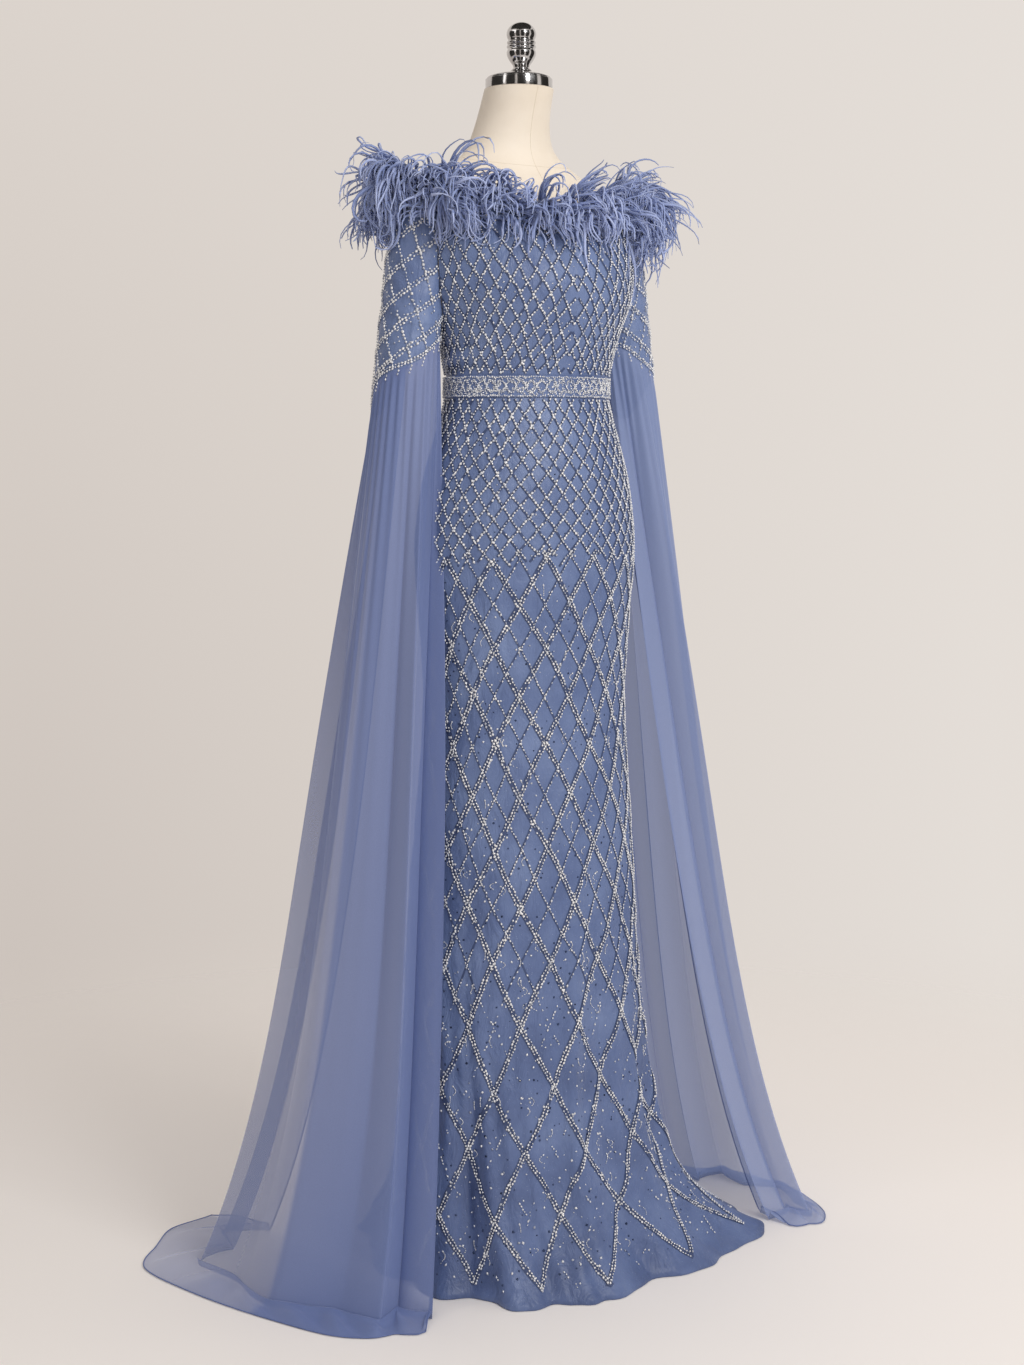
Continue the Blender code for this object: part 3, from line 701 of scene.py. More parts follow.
def makeForm():
    form, shape = formPiece, bodyShape
    heights = np.arange(shape["formBottom"], shape["neckTop"], form["rowStep"])
    heights = np.append(heights, shape["neckTop"])
    count = form["columns"]
    angles = np.arange(count) * 2 * math.pi / count
    inset = np.where(heights < shape["armpit"], form["insetLow"], form["insetHigh"])
    grid = bodyAt(heights[:, None], angles[None], -inset[:, None])
    faces = [gridFaces(len(heights), count, ring=True, flip=True), ringCaps(len(heights), count)]
    torso = meshFrom("form_cover", grid, faces, formCover)
    torso.data.set_sharp_from_angle(angle=math.radians(60))
    keep(torso, "form_cover", "form_torso")

    steps = form["seamSteps"]
    share = np.linspace(0, 1, steps)
    height = form["seamBottom"] + (shape["neckTop"] - 0.001 - form["seamBottom"]) * share
    upright = [bodyAt(height, np.full(steps, turn), -form["insetHigh"]) for turn in (0.0, math.pi)]
    angle = share * 2 * math.pi
    level = (form["neckSeamFront"] + form["neckSeamBack"]) / 2
    swing = (form["neckSeamBack"] - form["neckSeamFront"]) / 2
    collar = bodyAt(level - swing * np.cos(angle), angle, -form["insetHigh"])
    radii = np.full((3, steps), form["seamRadius"])
    points, quads, ends = tubes(np.stack([*upright, collar]), radii, sides=6)
    keep(meshFrom("form_seams", points, [quads, ends], seamThread), "form_cover")


def turnedPiece(name, profile, centre, count, material):
    profile = np.asarray(profile, float)
    angles = np.arange(count) * 2 * math.pi / count
    ringX = centre[0] + profile[:, :1] * np.cos(angles)
    ringY = centre[1] + profile[:, :1] * np.sin(angles)
    heights = np.repeat(profile[:, 1:], count, axis=1)
    grid = np.stack([ringX, ringY, heights], -1)
    faces = [gridFaces(len(profile), count, ring=True, flip=True), ringCaps(len(profile), count)]
    piece = meshFrom(name, grid, faces, material)
    piece.data.set_sharp_from_angle(angle=math.radians(40))
    return piece


metalwork = {
    "neck": (0.0, 0.021),
    "knob": (0.0, 0.015),
    "capRadius": 0.0465,
    "capBottom": 1.6534,
    "capHeight": 0.0165,
    "capRim": 0.0030,  # from the top down to the rim
    "capGroove": 0.0018,
    "capTopInset": 0.0026,
    "domeRise": 0.0062,
    "domeTop": 0.0065,
    "knobGap": 0.0004,
    # heights of the finial are over its own foot
    # foot: radius, height
    "foot": ((0.0142, 0.0), (0.0146, 0.0012), (0.0130, 0.0026), (0.0112, 0.0050)),
    # vase: height, radius
    "vase": (
        (0.0050, 0.0112),
        (0.0080, 0.0118),
        (0.0135, 0.0158),
        (0.0200, 0.0194),
        (0.0255, 0.0203),
        (0.0302, 0.0188),
    ),
    # rings: height, radius, radius of the groove beside it, half height
    "rings": ((0.0332, 0.0202, 0.0184, 0.0024), (0.0386, 0.0199, 0.0178, 0.0024)),
    "ballRadius": 0.0204,
    "ballHeight": 0.0500,
    "ballFlat": 0.80,
}


def roundEdge(radius, height, bevel, upward, steps=5):
    # a quarter round from the side to the top, or from the bottom to the side
    angles = np.linspace(0, math.pi / 2, steps)
    if upward:
        return [(radius - bevel * (1 - math.cos(a)), height - bevel * (1 - math.sin(a))) for a in angles]
    return [(radius - bevel * (1 - math.sin(a)), height + bevel * (1 - math.cos(a))) for a in angles]


def makeNeckCap():
    metal = metalwork
    bottom, top = metal["capBottom"], metal["capBottom"] + metal["capHeight"]
    radius = metal["capRadius"]
    profile = roundEdge(radius, bottom, 0.0009, upward=False)
    profile += roundEdge(radius, top - metal["capRim"], 0.0007, upward=True)
    profile += [(radius - metal["capGroove"], top - down) for down in (0.0028, 0.0016)]
    profile += roundEdge(radius - metal["capTopInset"], top, 0.0012, upward=True)
    for share in np.arange(1, 12) / 12:
        dome = top + metal["domeRise"] * math.sin(share * math.pi / 2)
        profile.append((radius * (0.93 - 0.65 * share), dome))
    keep(turnedPiece("neck_cap", profile, metal["neck"], 96, chrome), "chrome", "form_neck_cap")


def makeFinial():
    metal = metalwork
    start = metal["capBottom"] + metal["capHeight"] + metal["domeTop"] + metal["knobGap"]
    profile = [(radius, start + height) for radius, height in metal["foot"]]
    for height in np.linspace(0.0054, metal["vase"][-1][0], 24):
        profile.append((float(tableAt(metal["vase"], height)[0]), start + height))
    for middle, wide, groove, half in metal["rings"]:
        for k in range(1, 12):
            angle = math.pi * (k / 12 - 0.5)
            radius = groove + (wide - groove) * math.cos(angle)
            profile.append((radius, start + middle + half * math.sin(angle)))
    ball = metal["ballRadius"]
    for k in range(28):
        angle = math.pi * (-0.15 + 0.645 * k / 27)
        height = start + metal["ballHeight"] + ball * metal["ballFlat"] * math.sin(angle)
        profile.append((ball * math.cos(angle), height))
    keep(turnedPiece("finial", profile, metal["knob"], 64, chrome), "chrome", "form_finial")


makeForm()
makeNeckCap()
makeFinial()
for name in ("form_base", "form_pole"):
    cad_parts[name].data.materials.clear()
    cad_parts[name].data.materials.append(chrome)
print("dress form made")


# Gown: bodice, skirt and sleeves
clothPiece = {
    "under": 0.0011,  # from the outside to the turned-in edge
    "turnIn": 0.010,
    "seam": 0.0018,  # half the side seam, as an angle
    "waistGap": 0.0002,  # half the gap between skirt and bodice
    "hemLift": 0.0012,
    "hemTurnIn": 0.012,
    "floorGap": 0.0002,
    "dipFront": 0.008,
    "dipBack": 0.018,
    "armClear": 0.0016,
    "skirtGrid": (150, 110),  # rows, columns
    "bodiceGrid": (84, 90),
    "sleeveGrid": (62, 34, 120),  # rows above the armpit, rows below it, columns
    "wrinkle": 0.0012,
    "sleeveRipple": 0.0009,
}


def withHem(grid, inward, depth):
    # the last row is turned in behind the cloth: two more rows inside it
    inside = grid[-1] + inward[-1] * clothPiece["under"]
    up = unit(grid[-3] - grid[-1]) * depth
    return np.concatenate([grid, inside[None], (inside + up)[None]])


def inwardOf(grid, flip=1.0):
    down = np.gradient(grid, axis=0)
    across = np.gradient(grid, axis=1)
    return -unit(np.cross(down, across)) * flip


def armShare(points, clear):
    # how far points lie from a sleeve's middle: 1 is its surface with a gap added
    away, middle, radiusX, radiusY = np.moveaxis(tableAt(armShape["rows"], points[..., 2]), -1, 0)
    across = (np.abs(points[..., 0]) - away) / (radiusX + clear)
    depth = (points[..., 1] - middle) / (radiusY + clear)
    return np.sqrt(across ** 2 + depth ** 2)


def panelReach(heights, back):
    # how far round a panel of the bodice reaches, clear of the sleeve
    full = math.pi / 2 - clothPiece["seam"]
    angles = np.linspace(0.3, full, 400)
    turned = math.pi if back else 0.0
    points = bodyAt(np.asarray(heights)[:, None], np.abs(turned - angles)[None])
    inside = armShare(points, clothPiece["armClear"]) < 1
    inside &= points[..., 2] > bodyShape["armpit"] - 0.004
    first = np.where(inside.any(1), inside.argmax(1), len(angles) - 1)
    return angles[np.maximum(first - 1, 0)]


def makeSkirt(name, back):
    rows, columns = clothPiece["skirtGrid"]
    fall = np.linspace(0, 1, rows) ** 0.92
    heights = (bodyShape["waist"] - clothPiece["waistGap"]) * (1 - fall)
    reach = math.pi / 2 - clothPiece["seam"]
    angles = (math.pi if back else 0.0) + np.linspace(-reach, reach, columns)
    grid = bodyAt(heights[:, None], angles[None])
    grid[..., 2] = np.maximum(grid[..., 2], clothPiece["hemLift"])
    # the hem is turned in flat on the floor
    inward = inwardOf(grid)
    inside = grid[-1] + inward[-1] * clothPiece["hemLift"]
    inside[:, 2] = clothPiece["floorGap"]
    deeper = grid[-1] + inward[-1] * clothPiece["hemTurnIn"]
    deeper[:, 2] = clothPiece["floorGap"] + 0.0001
    grid = np.concatenate([grid, inside[None], deeper[None]])
    return meshFrom(name, grid, [gridFaces(len(grid), columns)], satin)


def bodiceWrinkle(height, angle):
    # soft pulls from the side seam towards the waist
    waist = bodyShape["waist"]
    near = np.exp(-((np.abs(np.sin(angle)) - 1) / 0.22) ** 2)
    wave = np.sin((height - waist) * 210 + 1.5 * np.cos(angle * 3))
    fade = np.clip((1.34 - height) / 0.06, 0, 1) * np.clip((height - waist) / 0.02, 0, 1)
    return clothPiece["wrinkle"] * near * wave * fade


def makeBodice(name, back):
    shape = bodyShape
    rows, columns = clothPiece["bodiceGrid"]
    heights = np.linspace(shape["neckline"], shape["waist"] + clothPiece["waistGap"], rows)
    reach = panelReach(heights, back)
    share = np.linspace(-1, 1, columns)
    angles = (math.pi if back else 0.0) + reach[:, None] * share[None]
    dip = clothPiece["dipBack"] if back else clothPiece["dipFront"]
    sink = np.clip((heights - 1.44) / 0.06, 0, 1)[:, None] * dip * (1 - share[None] ** 2)
    level = heights[:, None] - sink
    grid = bodyAt(level, angles, 0)
    grid += unit(grid * [1, 1, 0]) * bodiceWrinkle(level, angles)[..., None]
    inward = inwardOf(grid)
    inside = grid[0] + inward[0] * clothPiece["under"]
    tucked = inside.copy()
    tucked[:, 2] -= clothPiece["turnIn"]
    grid = np.concatenate([tucked[None], inside[None], grid])
    return meshFrom(name, grid, [gridFaces(len(grid), columns)], satin)


def sleeveTurns(side, heights):
    # the turns between which the sleeve's cloth shows outside the body
    heights = np.asarray(heights, float)
    turns = np.linspace(0, 360, 1441)
    last = len(turns) - 1
    points = armAt(side, heights[:, None], turns[None])
    left, _, front, back, middle = np.moveaxis(tableAt(bodyShape["rows"], points[..., 2]), -1, 0)
    depth = np.where(points[..., 1] < middle, front, back)
    hidden = (points[..., 0] / left) ** 2 + ((points[..., 1] - middle) / depth) ** 2 < 1
    hidden &= (heights > bodyShape["armpit"])[:, None]
    start = np.where(hidden[:, 0], (~hidden).argmax(1), 1)
    end = np.where(hidden[:, -1], last - (~hidden[:, ::-1]).argmax(1), last - 1)
    return turns[start], turns[end]


def makeSleeve(name, side):
    shape = bodyShape
    highRows, lowRows, columns = clothPiece["sleeveGrid"]
    share = np.linspace(0, 1, columns)
    upper = np.linspace(shape["neckline"], shape["armpit"], highRows)
    start, end = sleeveTurns(side, upper)
    turn = start[:, None] + (end - start)[:, None] * share[None]
    grow = np.clip((upper - 1.46) / 0.04, 0, 1)[:, None] ** 1.5
    rise = grow * armShape["topRise"] * np.sin(math.pi * share) ** 2
    top = armAt(side, upper[:, None] + rise, turn)
    lowTurn = start[-1] + (end[-1] - start[-1]) * share
    edge = tableAt(armShape["edge"], lowTurn)[:, 0]
    down = np.linspace(0, 1, lowRows + 1)[1:]
    level = shape["armpit"] + (edge[None] - shape["armpit"]) * down[:, None]
    low = armAt(side, level, lowTurn[None])
    grid = np.concatenate([top, low])
    # shallow ripples round the upper arm
    height = grid[..., 2]
    wave = np.sin(height * 160 + 3 * np.sin(share * 9)[None])
    ripple = clothPiece["sleeveRipple"] * wave * np.exp(-((height - 1.37) / 0.05) ** 2)
    middle = np.stack([side * tableAt(armShape["rows"], height)[..., 0], 0 * height + 0.022, height], -1)
    grid += unit(grid - middle) * ripple[..., None]
    grid = withHem(grid, inwardOf(grid, side), clothPiece["turnIn"])
    return meshFrom(name, grid, [gridFaces(len(grid), columns, flip=side < 0)], satin)


skirts = [makeSkirt("gown_skirt_front", False), makeSkirt("gown_skirt_back", True)]
bodices = [makeBodice("gown_bodice_front", False), makeBodice("gown_bodice_back", True)]
sides = (("right", -1.0), ("left", 1.0))
sleeves = [makeSleeve("gown_sleeve_" + word, side) for word, side in sides]
for piece in (*skirts, *bodices, *sleeves):
    keep(piece, "beaded_satin", piece.name.removeprefix("gown_"))
print("gown cloth made")


# Capes: sheer panels that hang from each sleeve's edge and lie out over the floor
capePiece = {
    "columns": 250,
    "fallRows": 118,
    "floorRows": 30,
    "firstTurn": 14.0,
    "turnSpan": 286.0,
    "pleats": 4.5,
    "pleatDepth": 0.021,
    "fullAt": 0.55,  # the share of the drop at which the pleats are full
    "floorEase": 0.80,  # how far they flatten out on the floor
    "overlap": 0.24,
    "gather": 0.0014,
    "gathers": 21,
    "floorWave": 0.0045,
    "tuck": 0.012,
    # share of the width, how dense the cloth looks there
    "density": {
        "right": (
            (0.0, 0.62), (0.07, 0.70), (0.09, 0.90), (0.30, 0.94), (0.46, 0.88),
            (0.475, 0.46), (0.60, 0.34), (0.72, 0.10), (1.0, 0.04),
        ),
        "left": (
            (0.0, 0.36), (0.20, 0.24), (0.40, 0.26), (0.43, 0.50), (0.55, 0.58),
            (0.75, 0.74), (1.0, 0.82),
        ),
    },
    "fan": 0.06,  # how far the dense part spreads by the floor, as a share of the width
    "edgeRadius": 0.0009,
}
# share of the width, foot x, foot y, hem x, hem y (x is the distance from the middle)
capeFloor = {
    "right": (
        (0.00, 0.232, -0.125, 0.276, -0.178),
        (0.18, 0.300, -0.118, 0.330, -0.158),
        (0.34, 0.358, -0.075, 0.388, -0.120),
        (0.50, 0.400, 0.005, 0.432, -0.020),
        (0.66, 0.424, 0.110, 0.486, 0.130),
        (0.78, 0.408, 0.200, 0.492, 0.240),
        (0.90, 0.350, 0.265, 0.420, 0.335),
        (1.00, 0.290, 0.285, 0.330, 0.375),
    ),
    "left": (
        (0.00, 0.374, -0.080, 0.380, -0.140),
        (0.18, 0.420, -0.112, 0.420, -0.156),
        (0.34, 0.456, -0.082, 0.466, -0.122),
        (0.50, 0.462, -0.020, 0.486, -0.032),
        (0.66, 0.446, 0.040, 0.478, 0.052),
        (0.78, 0.420, 0.086, 0.450, 0.112),
        (0.90, 0.380, 0.118, 0.404, 0.152),
        (1.00, 0.340, 0.140, 0.362, 0.176),
    ),
}


def capeAt(word, side, share, drop, along):
    # points of a cape: drop runs down to the floor, then along runs out over it
    cape = capePiece
    share, drop, along = np.broadcast_arrays(share, drop, along)
    turn = cape["firstTurn"] + cape["turnSpan"] * share
    topHeight = tableAt(armShape["edge"], turn)[..., 0] - 0.0006
    top = armAt(side, topHeight, turn)
    footX, footY, hemX, hemY = np.moveaxis(tableAt(capeFloor[word], share), -1, 0)
    spread = (0.75 * drop + 0.25 * drop ** 6)[..., None]
    base = np.stack([side * footX, footY, 0 * footX], -1)
    hem = np.stack([side * hemX, hemY, 0 * footX], -1)
    point = top * (1 - spread) + base * spread
    point[..., 2] = topHeight * (1 - drop)
    out = along[..., None]
    flat = base * (1 - out) + hem * out
    flat[..., 2] = 0.012 * (1 - along) ** 4
    point = np.where(out > 0, flat, point)
    # pleats stand out from the line that the cape draws on the floor, and fold over along it
    ahead = tableAt(capeFloor[word], np.minimum(share + 0.02, 1))
    behind = tableAt(capeFloor[word], np.maximum(share - 0.02, 0))
    line = unit(np.stack([side * (ahead[..., 0] - behind[..., 0]), ahead[..., 1] - behind[..., 1]], -1))
    outward = np.stack([side * line[..., 1], -side * line[..., 0], 0 * footX], -1)
    level = np.stack([line[..., 0], line[..., 1], 0 * footX], -1)
    full = np.sin(math.pi / 2 * np.minimum(1, drop / cape["fullAt"]))
    full = full * (1 - cape["floorEase"] * along)
    uneven = 0.05 * np.sin(7 * share) + 0.012 * np.sin(17 * share + 4 * drop)
    phase = 2 * math.pi * cape["pleats"] * (share + uneven)
    swell = 0.75 + 0.35 * np.sin(7.3 * share + 1.1)
    pleat = cape["pleatDepth"] * full * np.sin(phase) * swell
    slide = cape["overlap"] * cape["pleatDepth"] * full * np.sin(2 * phase + 0.6) * swell
    gather = np.sin(2 * math.pi * cape["gathers"] * share + 2 * np.sin(11 * share))
    fine = cape["gather"] * gather * np.exp(-drop / 0.30) * np.minimum(1, drop / 0.02)
    return point + outward * (pleat + fine)[..., None] + level * slide[..., None]


def makeCape(word, side):
    cape = capePiece
    share = np.linspace(0, 1, cape["columns"])
    fall = np.linspace(0, 1, cape["fallRows"])
    out = np.linspace(0, 1, cape["floorRows"])[1:]
    hanging = capeAt(word, side, share[None], fall[:, None], 0 * fall[:, None])
    laid = capeAt(word, side, share[None], np.ones((len(out), 1)), out[:, None])
    wave = 1 + np.sin(2 * math.pi * 9 * share + 3 * out[:, None])
    laid[..., 2] += 0.0016 + cape["floorWave"] * np.sin(math.pi * out)[:, None] * wave
    # the top is tucked up inside the sleeve
    tuck = hanging[0].copy()
    tuck[:, 2] += cape["tuck"]
    height = tuck[:, 2]
    middle = np.stack([side * tableAt(armShape["rows"], height)[:, 0], 0 * height + 0.022, height], -1)
    tuck += unit(middle - tuck) * 0.0022
    hanging[..., 2] = np.maximum(hanging[..., 2], 0.0016)
    grid = np.concatenate([tuck[None], hanging, laid])
    grid[..., 2] = np.maximum(grid[..., 2], 0.0010)
    faces = gridFaces(len(grid), cape["columns"], flip=side > 0)
    piece = meshFrom("gown_cape_" + word, grid, [faces], chiffon[word])

    # density: crisp steps across the width, denser at the gathered top and where folds crowd
    relief = np.abs(np.gradient(np.gradient(grid, axis=1), axis=1)).sum(-1)
    crowd = np.clip(relief / (np.percentile(relief, 97) + 1e-9), 0, 1)
    nearTop = np.exp(-np.linspace(0, 1, len(grid)) / 0.25)[:, None]
    spread = np.concatenate([[0], fall, 1 + 0 * out])[:, None]
    at = np.clip(share[None] - cape["fan"] * spread * np.sin(math.pi * share), 0, 1)
    density = np.interp(at, *np.transpose(cape["density"][word])) + 0.06 * crowd
    setShade(piece, np.clip(density + (0.92 - density) * nearTop, 0, 1))

    points, quads, ends, start = [], [], [], 0
    for line in (grid[1:, 0], grid[1:, -1], grid[-1]):
        radii = np.full((1, len(line)), cape["edgeRadius"])
        line = line.copy()
        line[:, 2] = np.maximum(line[:, 2], cape["edgeRadius"])
        made, sideFaces, endFaces = tubes(line[None], radii, sides=5)
        points.append(made)
        quads.append(sideFaces + start)
        ends.append(endFaces + start)
        start += len(made)
    edgeFaces = [np.concatenate(quads), np.concatenate(ends)]
    edge = meshFrom("cape_edge_" + word, np.concatenate(points), edgeFaces, rolledEdge)
    keep(piece, "chiffon", "cape_" + word)
    keep(edge, "chiffon")
    return piece, edge


capes = [makeCape(word, side) for word, side in sides]
print("capes made")


# Beads: small eight-sided beads sewn in rows
beadTemplate = np.array([(1, 0, 0), (-1, 0, 0), (0, 1, 0), (0, -1, 0), (0, 0, 1), (0, 0, -1)], float)
beadFaces = np.array([(0, 2, 4), (2, 1, 4), (1, 3, 4), (3, 0, 4), (2, 0, 5), (1, 2, 5), (3, 1, 5), (0, 3, 5)])
sewing = {
    "wander": 0.0005,
    "missing": 0.04,
    "sizeSpread": 0.22,
    "skew": 0.25,
    "sink": 0.40,  # a bead's middle over the cloth, as a share of its height
    "lift": 0.0005,
    "normalStep": (0.0008, 0.004),  # height, turn
}


class BeadStore:
    def __init__(self):
        self.rows = []

    def add(self, place, heading, normal, length, width, height):
        count = len(place)
        if count:
            sizes = np.stack([np.broadcast_to(v, count) for v in (length, width, height)], -1) / 2
            self.rows.append((place, heading, normal, sizes))

    def build(self, name, material):
        place, heading, normal, sizes = (np.concatenate(parts) for parts in zip(*self.rows))
        heading = unit(heading - normal * (heading * normal).sum(-1, keepdims=True))
        across = np.cross(normal, heading)
        local = beadTemplate[None] * sizes[:, None]
        points = (
            place[:, None] + local[..., :1] * heading[:, None]
            + local[..., 1:2] * across[:, None] + local[..., 2:] * normal[:, None]
        )
        faces = (beadFaces[None] + 6 * np.arange(len(place))[:, None, None]).reshape(-1, 3)
        print(name, len(place), "beads")
        return meshFrom(name, points, [faces], material, smooth=False)


def normalsOf(surface, height, turn):
    # outward normals of a surface given by height and turn
    stepUp, stepRound = sewing["normalStep"]
    one = surface(height + stepUp, turn) - surface(height - stepUp, turn)
    two = surface(height, turn + stepRound) - surface(height, turn - stepRound)
    normal = unit(np.cross(two, one))
    outward = surface(height, turn, 0.001) - surface(height, turn)
    return normal * np.where((normal * outward).sum(-1, keepdims=True) < 0, -1.0, 1.0)


def sewRow(store, surface, heights, turns, bead, aside=0.0, keepIf=None):
    # beads along a line drawn on a surface; bead: spacing, length, width, height
    spacing, length, width, height = bead
    points = surface(heights, turns)
    normals = normalsOf(surface, heights, turns)
    run = np.concatenate([[0], np.cumsum(np.linalg.norm(np.diff(points, axis=0), axis=1))])
    count = int(run[-1] / spacing)
    if count < 3:
        return
    at = (np.arange(count) + 0.5 * chance.random()) * spacing
    place = np.stack([np.interp(at, run, points[:, k]) for k in range(3)], -1)
    normal = unit(np.stack([np.interp(at, run, normals[:, k]) for k in range(3)], -1))
    heading = unit(np.gradient(place, axis=0))
    across = np.cross(normal, heading)
    place = place + across * (aside + sewing["wander"] * chance.normal(size=(count, 1)))
    place += normal * (height * sewing["sink"] + sewing["lift"])
    kept = chance.random(count) > sewing["missing"]
    if keepIf is not None:
        kept &= keepIf(place, np.interp(at, run, heights))
    vary = 1 + sewing["sizeSpread"] * chance.normal(size=count).clip(-1.5, 1.5)
    skew = unit(heading + across * sewing["skew"] * chance.normal(size=(count, 1)))
    store.add(place[kept], skew[kept], normal[kept], (length * vary)[kept], (width * vary)[kept], height)


def shownRuns(shown):
    # the stretches of a line that show, without the shortest ones
    runs = np.split(np.arange(len(shown)), np.where(np.diff(shown.astype(int)) != 0)[0] + 1)
    return [run for run in runs if len(run) > 5 and shown[run[0]]]


def netting(name, surface, shadowThreads):
    # flat dark threads that the beads are sewn to, set a little to one side of each row: partly the net's own
    # thread, partly painted shadow of the raised beads
    points, faces, start = [], [], 0
    for heights, turns, width in shadowThreads:
        heights, turns = heights[::3], turns[::3]
        place = surface(heights, turns, 0.0005)
        normal = normalsOf(surface, heights, turns)
        across = unit(np.cross(normal, unit(np.gradient(place, axis=0)))) * width / 2
        # shifted to one side of the row, so that the dark strip is painted shadow beside it
        place = place + unit(np.cross(normal, np.array([0, 0, 1.0]))) * 0.0006
        ridge = place + normal * 0.0002
        points.append(np.stack([place - across, ridge, place + across], 1).reshape(-1, 3))
        faces.append(gridFaces(len(place), 3, start=start))
        start += 3 * len(place)
    return meshFrom(name, np.concatenate(points), [np.concatenate(faces)], shadowThread)


skirtBeads = {
    "lines": 26,
    # height, turns of each line for a metre of fall
    "lean": ((0.0, 0.44), (0.40, 0.44), (0.72, 0.55), (0.95, 0.62), (1.15, 0.70), (1.25, 0.72)),
    "phase": 0.369,  # a height at which main lines cross on the middle line
    "hemClear": 0.016,
    "beltClear": 0.017,
    "change": 1.005,  # the close lattice of the hips ends here
    "highLines": 39,
    "highLean": 0.84,
    "rowApart": 0.0021,  # each row of a double line, from the line's middle
    # spacing, length, width, height
    "mainBead": (0.0044, 0.0043, 0.0031, 0.0030),
    "fineBead": (0.0045, 0.0040, 0.0025, 0.0024),
    "highBead": (0.0045, 0.0045, 0.0034, 0.0031),
    # widths of the dark net threads, which also carry painted shadow beside the rows
    "mainShadowThread": 0.0074,
    "fineShadowThread": 0.0026,
    "highShadowThread": 0.0034,
    "fineShadowThreadFrom": 0.40,  # no dark thread or painted shadow shows under the fine rows below this height
    "looseStep": 0.0105,
    # height, share of the loose beads kept there
    "looseShare": ((0.0, 0.80), (0.5, 0.62), (0.9, 0.36), (1.2, 0.2)),
    # height, how large they are there
    "looseSize": ((0.0, 1.6), (0.5, 1.15), (1.2, 0.7)),
    "sprigs": 420,
}


def leanTurns(height):
    # turns gathered by a line from the crossing height up to this height
    table = np.asarray(skirtBeads["lean"])
    levels = np.linspace(0, 1.5, 1501)
    rates = np.interp(levels, table[:, 0], table[:, 1])
    total = np.concatenate([[0], np.cumsum((rates[1:] + rates[:-1]) / 2 * np.diff(levels))])
    return np.interp(height, levels, total) - np.interp(skirtBeads["phase"], levels, total)


def skirtSurface(height, turn, out=0.0):
    return bodyAt(height, turn * 2 * math.pi, out)


def halfOf(stores, turn):
    return stores["front" if np.cos(2 * math.pi * np.median(turn)) > 0 else "back"]


def sewSkirtLines(stores, shadowThreads):
    # long diamonds of double and single rows below, a close lattice of single rows above
    look = skirtBeads
    change = look["change"]
    wholeLow = np.linspace(change + 0.045, look["hemClear"], 400)
    wholeHigh = np.linspace(bodyShape["waist"] - look["beltClear"], change - 0.035, 110)

    def thinnedLow(place, level):
        return chance.random(len(place)) < np.clip((level - 0.22) / 0.30, 0.25, 1)

    def keepAll(place, level):
        return chance.random(len(place)) < 1.0
    for family in (1, -1):
        count = look["lines"]
        for k in range(count):
            low = wholeLow[wholeLow < change + 0.004 + 0.018 * chance.random()]
            turn = k / count + family * leanTurns(low) + 0.0022 * np.sin(low * 31 + k)
            main = k % 2 == 0
            covered = low > (0 if main else look["fineShadowThreadFrom"])
            width = look["mainShadowThread"] if main else look["fineShadowThread"]
            shadowThreads.append((low[covered], turn[covered], width))
            for part in np.array_split(np.arange(len(low)), 8):
                part = np.append(part, min(part[-1] + 1, len(low) - 1))
                line = halfOf(stores, turn[part]), skirtSurface, low[part], turn[part]
                if main:
                    for aside in (-look["rowApart"], look["rowApart"]):
                        sewRow(*line, look["mainBead"], aside, keepAll)
                else:
                    sewRow(*line, look["fineBead"], keepIf=thinnedLow)
        count = look["highLines"]
        for k in range(count):
            high = wholeHigh[wholeHigh > change + 0.010 - 0.018 * chance.random()]
            lean = family * look["highLean"] * (high - change)
            turn = (k + 0.5) / count + lean + 0.0018 * np.sin(high * 60 + 2 * k)
            shadowThreads.append((high, turn, look["highShadowThread"]))
            sewRow(halfOf(stores, turn), skirtSurface, high, turn, look["highBead"])


def scatterSkirt(stores, dusk):
    # loose silver beads and dark sequins between the rows
    look = skirtBeads
    columns = look["lines"] * 2
    spots = []
    for i in range(columns):
        for height in np.arange(0.03, 1.2, look["looseStep"]):
            spots.append((height + 0.004 * chance.normal(), (i + chance.random()) / columns))
    spots = np.array(spots)
    spots = spots[chance.random(len(spots)) < np.interp(spots[:, 0], *np.transpose(look["looseShare"]))]
    place = skirtSurface(spots[:, 0], spots[:, 1])
    normal = normalsOf(skirtSurface, spots[:, 0], spots[:, 1])
    heading = unit(chance.normal(size=place.shape))
    bright = chance.random(len(spots)) < 0.5
    grow = np.interp(spots[:, 0], *np.transpose(look["looseSize"]))
    size = 0.0016 + 0.0018 * chance.random(len(spots)) * grow
    behind = np.cos(2 * math.pi * spots[:, 1]) < 0
    # store, which spots, lift, length, width and height as shares of the size
    for store, part, lift, long, wide, high in (
        (stores["front"], bright & ~behind, 0.0007, 1.3, 1.0, 0.9),
        (stores["back"], bright & behind, 0.0007, 1.3, 1.0, 0.9),
        (dusk, ~bright, 0.0004, 1.1, 1.1, 0.5),
    ):
        at, own = place[part] + normal[part] * lift, size[part]
        store.add(at, heading[part], normal[part], own * long, own * wide, own * high)


def sewSprigs(stores):
    # a short hook of fine beads with a drop at its end
    share = np.linspace(0, 1, 7)
    for k in range(skirtBeads["sprigs"]):
        height, turn = 0.05 + 0.95 * chance.random() ** 1.3, chance.random()
        bend, size = chance.normal(), 0.008 + 0.006 * chance.random()
        up = height + size * (share - 0.5)
        around = turn + (0.018 * bend * (share - 0.5) ** 2 + 0.003 * chance.normal() * share)
        place = skirtSurface(up, around)
        normal = normalsOf(skirtSurface, up, around)
        wide = np.where(share == 1, 0.0028, 0.0016)
        heading = unit(np.gradient(place, axis=0))
        halfOf(stores, around).add(place + normal * 0.0007, heading, normal, wide * 1.5, wide, wide)


